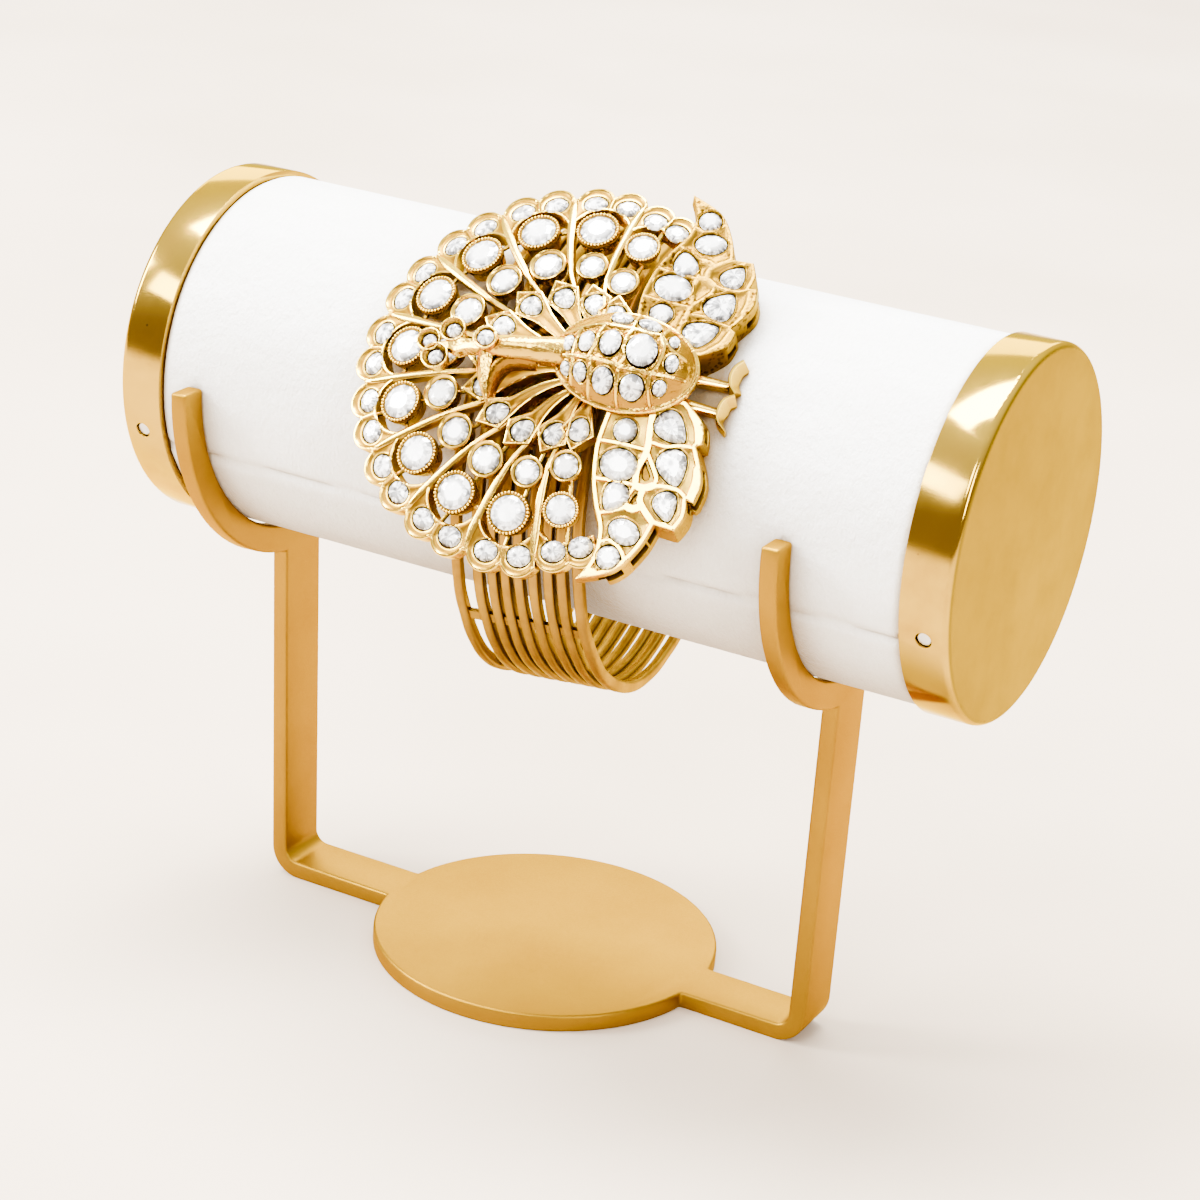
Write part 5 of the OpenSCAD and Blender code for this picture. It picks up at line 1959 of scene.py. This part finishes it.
@dataclass
class Bird:
    """The peacock's body with its neck, head, beak and crest.

    Attributes:
        radii: Half its length, half its width and its height.
        base: Height of its seam at the middle.
        slope: Fall of its seam along the body, in degrees.
        stones: The body's stones, with their size along and across the body.
        collets: The cups of the head and the crest.
    """

    middle: Pair = (10.3, 0.5)
    radii: Triple = (9.0, 6.5, 4.7)
    base: float = 1.95
    slope: float = 7.0
    stones: Sequence[Stone] = (
        Stone((3.7, 0.3), 1.5, 2.1), Stone((6.2, 0.6), 2.0, 2.8), Stone((9.3, 0.9), 2.6, 3.5),
        Stone((13.3, 0.8), 3.8, 4.4), Stone((17.0, 0.4), 1.7, 2.3), Stone((3.9, -2.9), 1.4, 1.9),
        Stone((6.1, -3.3), 1.8, 2.5), Stone((9.3, -3.9), 2.6, 3.4), Stone((13.0, -3.9), 2.9, 3.4),
        Stone((16.2, -3.0), 1.7, 2.1), Stone((9.4, 5.0), 2.8, 2.1), Stone((13.0, 4.9), 3.0, 2.2),
        Stone((16.4, 3.5), 1.4, 1.9))
    collets: Sequence[Collet] = (
        Collet((-6.4, -1.5), 7.7, 1.6, 3.4, 2.1, 0.3), Collet((-15.0, -1.6), 4.6, 1.6, 2.2, 1.8),
        Collet((-12.2, 0.2), 4.8, 1.7, 2.2, 1.9), Collet((-13.5, -3.7), 4.7, 1.8, 2.2, 2.0))

    def flatten(self, points: Array) -> Array:
        """Returns points seen from above rolled out flat over the body."""
        unit = (points - self.middle) / self.radii[:2]
        away = np.minimum(np.linalg.norm(unit, axis=1), 0.9999)
        return unit * (np.arcsin(away) / np.maximum(away, 1e-9))[:, None] * self.radii[:2]

    def surface(self, flat: Array, height: Array) -> Array:
        """Returns rolled-out points on the body's surface, raised by a height."""
        unit = flat / self.radii[:2]
        arc = np.linalg.norm(unit, axis=1)
        unit = unit * (np.sin(arc) / np.maximum(arc, 1e-9))[:, None]
        plan = self.middle + unit * self.radii[:2]
        return self.lifted(plan, np.cos(arc)) + height[:, None] * self.normal(plan, np.cos(arc))

    def fall(self) -> float:
        """Returns how much the seam falls for each millimetre along the body."""
        return math.tan(math.radians(self.slope))

    def lifted(self, plan: Array, up: Array) -> Array:
        """Returns points of the body's surface over a plan."""
        z = self.base - (plan[:, 0] - self.middle[0]) * self.fall() + self.radii[2] * up
        return np.column_stack([plan, z])

    def normal(self, plan: Array, up: Array) -> Array:
        """Returns the upright directions of the body's surface."""
        away, (a, b, c) = plan - self.middle, self.radii
        out = np.column_stack([away[:, 0] / a**2 + self.fall() / c * up, away[:, 1] / b**2, up / c])
        return out / np.linalg.norm(out, axis=1, keepdims=True)

    def stone_frame(self, stone: Stone) -> Matrix:
        """Returns the frame of a stone on the body."""
        plan = np.array([stone.at])
        up = np.sqrt(1 - np.sum(((plan - self.middle) / self.radii[:2])**2, axis=1))
        at, n = self.lifted(plan, up)[0], self.normal(plan, up)[0]
        heading, tilt = math.degrees(math.atan2(n[1], n[0])), math.degrees(math.acos(n[2]))
        return shift(*at) @ turn(heading, "Z") @ turn(tilt, "Y") @ turn(-heading, "Z")

    def add_body(self, shells: Shells) -> None:
        """Adds the body: cells between crisp ridges, over its base.

        Args:
            shells: Shells that it joins.
        """
        turns = np.linspace(0, 2 * math.pi, 150, endpoint=False)
        outline = 1.55 * np.stack([self.radii[0] * np.cos(turns), self.radii[1] * np.sin(turns)], axis=1)
        stones = []
        for stone in self.stones:
            ring = np.column_stack([stone.outline(28, 0.04), np.zeros(28)])
            stones.append(counter_clockwise(self.flatten(moved(ring, self.stone_frame(stone))[:, :2])))
        lines = [(self.flatten(smooth_line(points, 6)), width) for width, points in BODY_RIDGES]
        cells = Cells(outline, stones, lines, lip_w=0.7, wall=0.2, depth=0.38, pocket=0.4, edge=0.0,
                      matte=0.12)
        plate = Relief(outline, -5.0, 0.19, cells.guides())
        points, faces, polish = plate.shell(lambda p: 0.1 - cells.drop(p), cells.polish)
        low = points[:, 2] < -4
        made = self.surface(points[:, :2], np.where(low, 0, points[:, 2]))
        made[low, 2] -= 0.3
        shells.add(made, faces, polish)
        self.add_base(shells)

    def add_base(self, shells: Shells) -> None:
        """Adds the flange under the body's seam and the block below it."""
        (x, y), (a, b, _) = self.middle, self.radii
        tilted = Matrix(((a, 0, 0, x), (0, b, 0, y), (-a * self.fall(), 0, 1, self.base), (0, 0, 0, 1)))
        shells.lathe(BODY_FLANGE, 110, tilted)
        shells.lathe(BODY_BLOCK, 90, tilted)

    def sweep(self, shells: Shells, chart: Chart, section: Array, polish: float) -> None:
        """Adds a bar of changing size through space.

        Args:
            shells: Shells that it joins.
            chart: Middle, half width and half height at each station.
            section: Corners of its section, from -1 to 1.
            polish: Its polish.
        """
        line = smooth_line(chart, 8)
        way = np.gradient(line[:, :3], axis=0)
        side = np.cross(way, (0, 0, 1))
        side /= np.linalg.norm(side, axis=1, keepdims=True)
        up = np.cross(side, way)
        up /= np.linalg.norm(up, axis=1, keepdims=True)
        rings = [p[:3] + np.outer(section[:, 0] * p[3], s) + np.outer(section[:, 1] * p[4], u)
                 for p, s, u in zip(line, side, up)]
        shells.loft(rings, polish)

    def build(self, finish: Material) -> Piece:
        """Builds the bird.

        Args:
            finish: Its material.

        Returns:
            The bird.
        """
        shells = Shells()
        self.add_body(shells)
        turns = np.linspace(-0.1 * math.pi, 1.1 * math.pi, 25)
        arched = np.array([*zip(np.cos(turns), np.sin(turns)), (-0.75, -1.1), (0.75, -1.1)])
        self.sweep(shells, NECK_CHART, arched, 0.6)
        # polish below zero: painted shadow under the neck on the throat
        self.sweep(shells, THROAT_CHART, arched, -0.25)
        faceted = np.array([(1, -0.5), (0.62, 0.55), (0.1, 1), (-0.75, 0.5), (-1, -0.5), (0, -0.9)])
        self.sweep(shells, BEAK_CHART, faceted, 0.8)
        flat_top = np.array([(1, -1), (1, 0.6), (0.8, 0.92), (0.3, 1.0), (-0.3, 0.94), (-0.8, 0.9), (-1, 0.6),
                             (-1, -1)])
        self.sweep(shells, WEB_CHART, flat_top, 0.7)
        for collet in self.collets:
            collet.add_to(shells)
        return jewel("peacock", shells, finish, "bird")

    def build_stones(self, milky: Material, clear: Material) -> None:
        """Sets the body's stones, each a piece, and the head's and crest's as one.

        Args:
            milky: Material of the large stones.
            clear: Material of the small ones.
        """
        for number, stone in enumerate(self.stones, 1):
            shells = Shells()
            spot = sunk(self.stone_frame(stone), 0.1)
            BODY_CUT.add_to(shells, stone, spot, number + 300)
            finish = milky if stone.width > 2.6 and number < 5 else clear
            set_stones(f"body_crystal_{number}", shells, finish, f"body_stone_{number}")
        shells = Shells()
        for number, collet in enumerate(self.collets):
            stone = Stone((0, 0), collet.stone_d, collet.stone_d)
            CREST_CUT.add_to(shells, stone, sunk(collet.place(), collet.sink), number + 400)
        set_stones("crest_crystals", shells, clear, "crest_stones")


@dataclass
class Feet:
    """Two legs and a scalloped plate for the toes.

    Attributes:
        legs: Both ends of each leg.
        toes: The rim of the plate's two scallops.
        toe_widths: How far the plate flares from its rim, at both ends and the middle.
    """

    legs: Sequence[Sequence[Pair]] = (((16.6, 1.3), (22.5, 1.6)), ((16.6, -2.1), (22.3, -2.2)))
    toes: Sequence[Sequence[Pair]] = (
        ((23.2, 5.1), (22.4, 3.9), (22.15, 2.5), (22.5, 1.3), (23.4, 0.3)),
        ((23.4, 0.3), (22.3, -0.6), (21.9, -2.1), (22.3, -3.6), (23.6, -4.8)))
    toe_widths: Chart = ((1.4, 1.5, 1.1), (1.2, 1.5, 0.25))
    leg_top: float = 0.7
    toe_top: float = 1.5
    bottom: float = -0.7

    def build(self, finish: Material) -> Piece:
        """Builds the legs with their feet.

        Args:
            finish: Its material.

        Returns:
            The piece.
        """
        shells = Shells()
        low, top = self.bottom, self.leg_top
        section = [(-1, low, 0.3), (-1, top - 0.3, 0.6), (-0.7, top, 1), (-0.3, top - 0.14, 0.7),
                   (0.3, top - 0.14, 0.7), (0.7, top, 1), (1, top - 0.3, 0.6), (1, low, 0.3)]
        for leg in self.legs:
            shells.bar(np.linspace(*leg, 10), np.linspace(1.5, 1.1, 10), section)
        top = self.toe_top
        section = [(0, low, 0.3), (0, top - 0.12, 0.8), (0.12, top, 1), (0.45, top, 1),
                   (0.62, top - 0.15, 0.5), (2, top - 1.25, 0.3), (2, low, 0.3)]
        for scallop, flare in zip(self.toes, self.toe_widths):
            line = smooth_line(scallop, 8)
            shells.bar(line, np.interp(np.linspace(0, 1, len(line)), (0, 0.5, 1), flare), section)
        return jewel("scalloped_feet", shells, finish, "feet")


# Light, floor and camera

@dataclass(frozen=True)
class Viewpoint:
    """The photograph's camera, in millimetres, degrees and pixels.

    Attributes:
        yaw: Turn to the left of straight ahead.
        pitch: Turn below the horizon.
        centre_px: Where its axis meets the picture.
    """

    eye: Triple = (190.9, -358.1, 217.8)
    yaw: float = 27.731
    pitch: float = 21.887
    roll: float = 4.412
    focal_px: float = 3166.1
    centre_px: Pair = (587.5, 596.5)
    frame_px: float = 1200.0
    sensor_mm: float = 36.0

    def build(self) -> Piece:
        """Returns the camera, made the scene's own."""
        yaw, pitch, roll = (math.radians(a) for a in (self.yaw, self.pitch, self.roll))
        ahead = Vector((-math.sin(yaw) * math.cos(pitch), math.cos(yaw) * math.cos(pitch), -math.sin(pitch)))
        level = Vector((math.cos(yaw), math.sin(yaw), 0))
        upright = level.cross(ahead)
        right = math.cos(roll) * level + math.sin(roll) * upright
        up = math.cos(roll) * upright - math.sin(roll) * level
        lens = bpy.data.cameras.new("camera")
        lens.sensor_width = self.sensor_mm
        lens.lens = self.focal_px * self.sensor_mm / self.frame_px
        half = self.frame_px / 2
        lens.shift_x = (half - self.centre_px[0]) / self.frame_px
        lens.shift_y = (self.centre_px[1] - half) / self.frame_px
        lens.clip_start, lens.clip_end = 0.01, 20
        made = shown("camera", lens)
        axes = Matrix((right, up, -ahead)).transposed().to_4x4()
        made.matrix_world = shift(*Vector(self.eye) * MM) @ axes
        bpy.context.scene.camera = made
        return made


@dataclass(frozen=True)
class SoftBox:
    """A soft studio light aimed at the jewel.

    Attributes:
        at: Where it stands, in metres.
        size: Width and height, in metres.
    """

    name: str
    at: Triple
    size: Pair
    watts: float
    tint: Triple = (1.0, 1.0, 0.99)

    def build(self) -> Piece:
        """Returns the light."""
        lamp = bpy.data.lights.new(self.name, "AREA")
        lamp.shape = "RECTANGLE"
        lamp.size, lamp.size_y = self.size
        lamp.energy = self.watts
        lamp.color = self.tint
        made = shown(self.name, lamp)
        made.location = self.at
        made.rotation_mode = "QUATERNION"
        made.rotation_quaternion = (Vector((0, 0, 0.08)) - Vector(self.at)).to_track_quat("-Z", "Y")
        return made


@dataclass
class Studio:
    """A plain pale floor, a soft surround and the lights.

    Attributes:
        brightest: Direction in which the surround is brightest.
        dim: Share of the way there where it starts to brighten, and its colour.
        bright: Share where it is brightest, and its colour.
    """

    floor_half: float = 4.0
    brightest: Triple = (-0.15, 0.4, 0.9)
    dim: tuple[float, Colour] = (0.02, (0.20, 0.15, 0.10, 1))
    bright: tuple[float, Colour] = (0.8, (0.95, 0.95, 0.95, 1))
    strength: float = 3.0
    lights: Sequence[SoftBox] = (
        SoftBox("overhead", (-0.2, 0.15, 1.25), (1.0, 0.4), 148.0),
        SoftBox("left", (-1.1, -0.55, 0.75), (0.35, 0.6), 64.0),
        SoftBox("glint", (0.12, -0.88, 0.92), (0.34, 0.34), 15.0),
        SoftBox("window", (-0.42, -0.72, 0.68), (0.4, 0.2), 9.0),
        SoftBox("right", (0.9, -0.6, 0.6), (0.2, 0.5), 14.0, (1.0, 0.98, 0.94)),
        SoftBox("back", (-0.6, 1.15, 0.7), (1.4, 0.6), 32.0, (1.0, 0.99, 0.96)),
    )

    def surround(self) -> None:
        """Sets a pale world, bright above and behind, dim in front."""
        world = bpy.data.worlds.new("surround")
        world.use_nodes = True
        g = Nodes(world.node_tree)
        where = g.add("ShaderNodeTexCoord").outputs["Generated"]
        height = g.vector("DOT_PRODUCT", where, self.brightest)
        ramp = g.add("ShaderNodeValToRGB", {0: height})
        dim, bright = ramp.color_ramp.elements
        dim.position, dim.color = self.dim
        bright.position, bright.color = self.bright
        g.feed(g.tree.nodes["Background"], {"Color": ramp.outputs[0], "Strength": self.strength})
        bpy.context.scene.world = world

    def build(self, finish: Material) -> None:
        """Sets the floor, the surround and the lights.

        Args:
            finish: The floor's material.
        """
        half = self.floor_half
        mesh = bpy.data.meshes.new("floor")
        square = [(-half, -half, 0), (half, -half, 0), (half, half, 0), (-half, half, 0)]
        mesh.from_pydata(square, [], [(0, 1, 2, 3)])
        link("floor", mesh, finish, 30)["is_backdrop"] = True
        self.surround()
        for light in self.lights:
            light.build()


def corners() -> list[list[float]]:
    """Returns the shown object's lowest and highest corner."""
    return [[float(v) for v in corner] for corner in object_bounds()]


def main() -> None:
    """Builds the scene."""
    logging.basicConfig(level=logging.INFO, format="%(name)s: %(message)s")
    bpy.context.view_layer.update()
    gold, band = AntiqueGold().build(), BandGold().build()
    pitted = AntiqueGold("pitted_gold", bright=(0.24, 0.128, 0.005, 1), satin=(0.105, 0.047, 0.001, 1),
                         rough_polished=0.28, hammer=0.1, pits=0.9).build()
    milky = FoiledCrystal("milky_crystal", 0.85, 0.9).build()
    clear = FoiledCrystal("clear_crystal", 0.2, 1.3, 0.85).build()
    brass, steel = PolishedBrass().build(), BrushedSteel().build()
    Viewpoint().build()
    Studio().build(PaleFloor().build())
    RefinedNode(("stand",), "painted", 0.4, Slot.STAND).build(SatinPaint().build())
    RefinedNode(("cap_left", "cap_right"), "polished", 0.2, Slot.CAP).build(brass)
    RefinedNode(("cap_screw_left", "cap_screw_right"), "head", 0.15, Slot.SCREW).build(steel)
    VelvetRoll().build(Velvet().build())
    CuffBand().build(band)
    fan = TailFan()
    fan.build(gold)
    fan.build_stones(milky, clear)
    wings = Wing(False, 0.14, (-0.25, 0.25), (-0.2, -1.2)), Wing(True, 0.3, (-0.08, 0.12), (0.35, -1.7))
    for wing, finish in zip(wings, (pitted, gold)):
        wing.build(finish)
        wing.build_stones((milky, clear))
    bird = Bird()
    bird.build(AntiqueGold("burnished_gold", satin=(0.26, 0.125, 0.003, 1), recess=6.0, rough_satin=0.18,
                           hammer=0.4, lumps=0.8).build())
    bird.build_stones(milky, clear)
    Feet().build(gold)


if __name__ == "__main__":
    main()
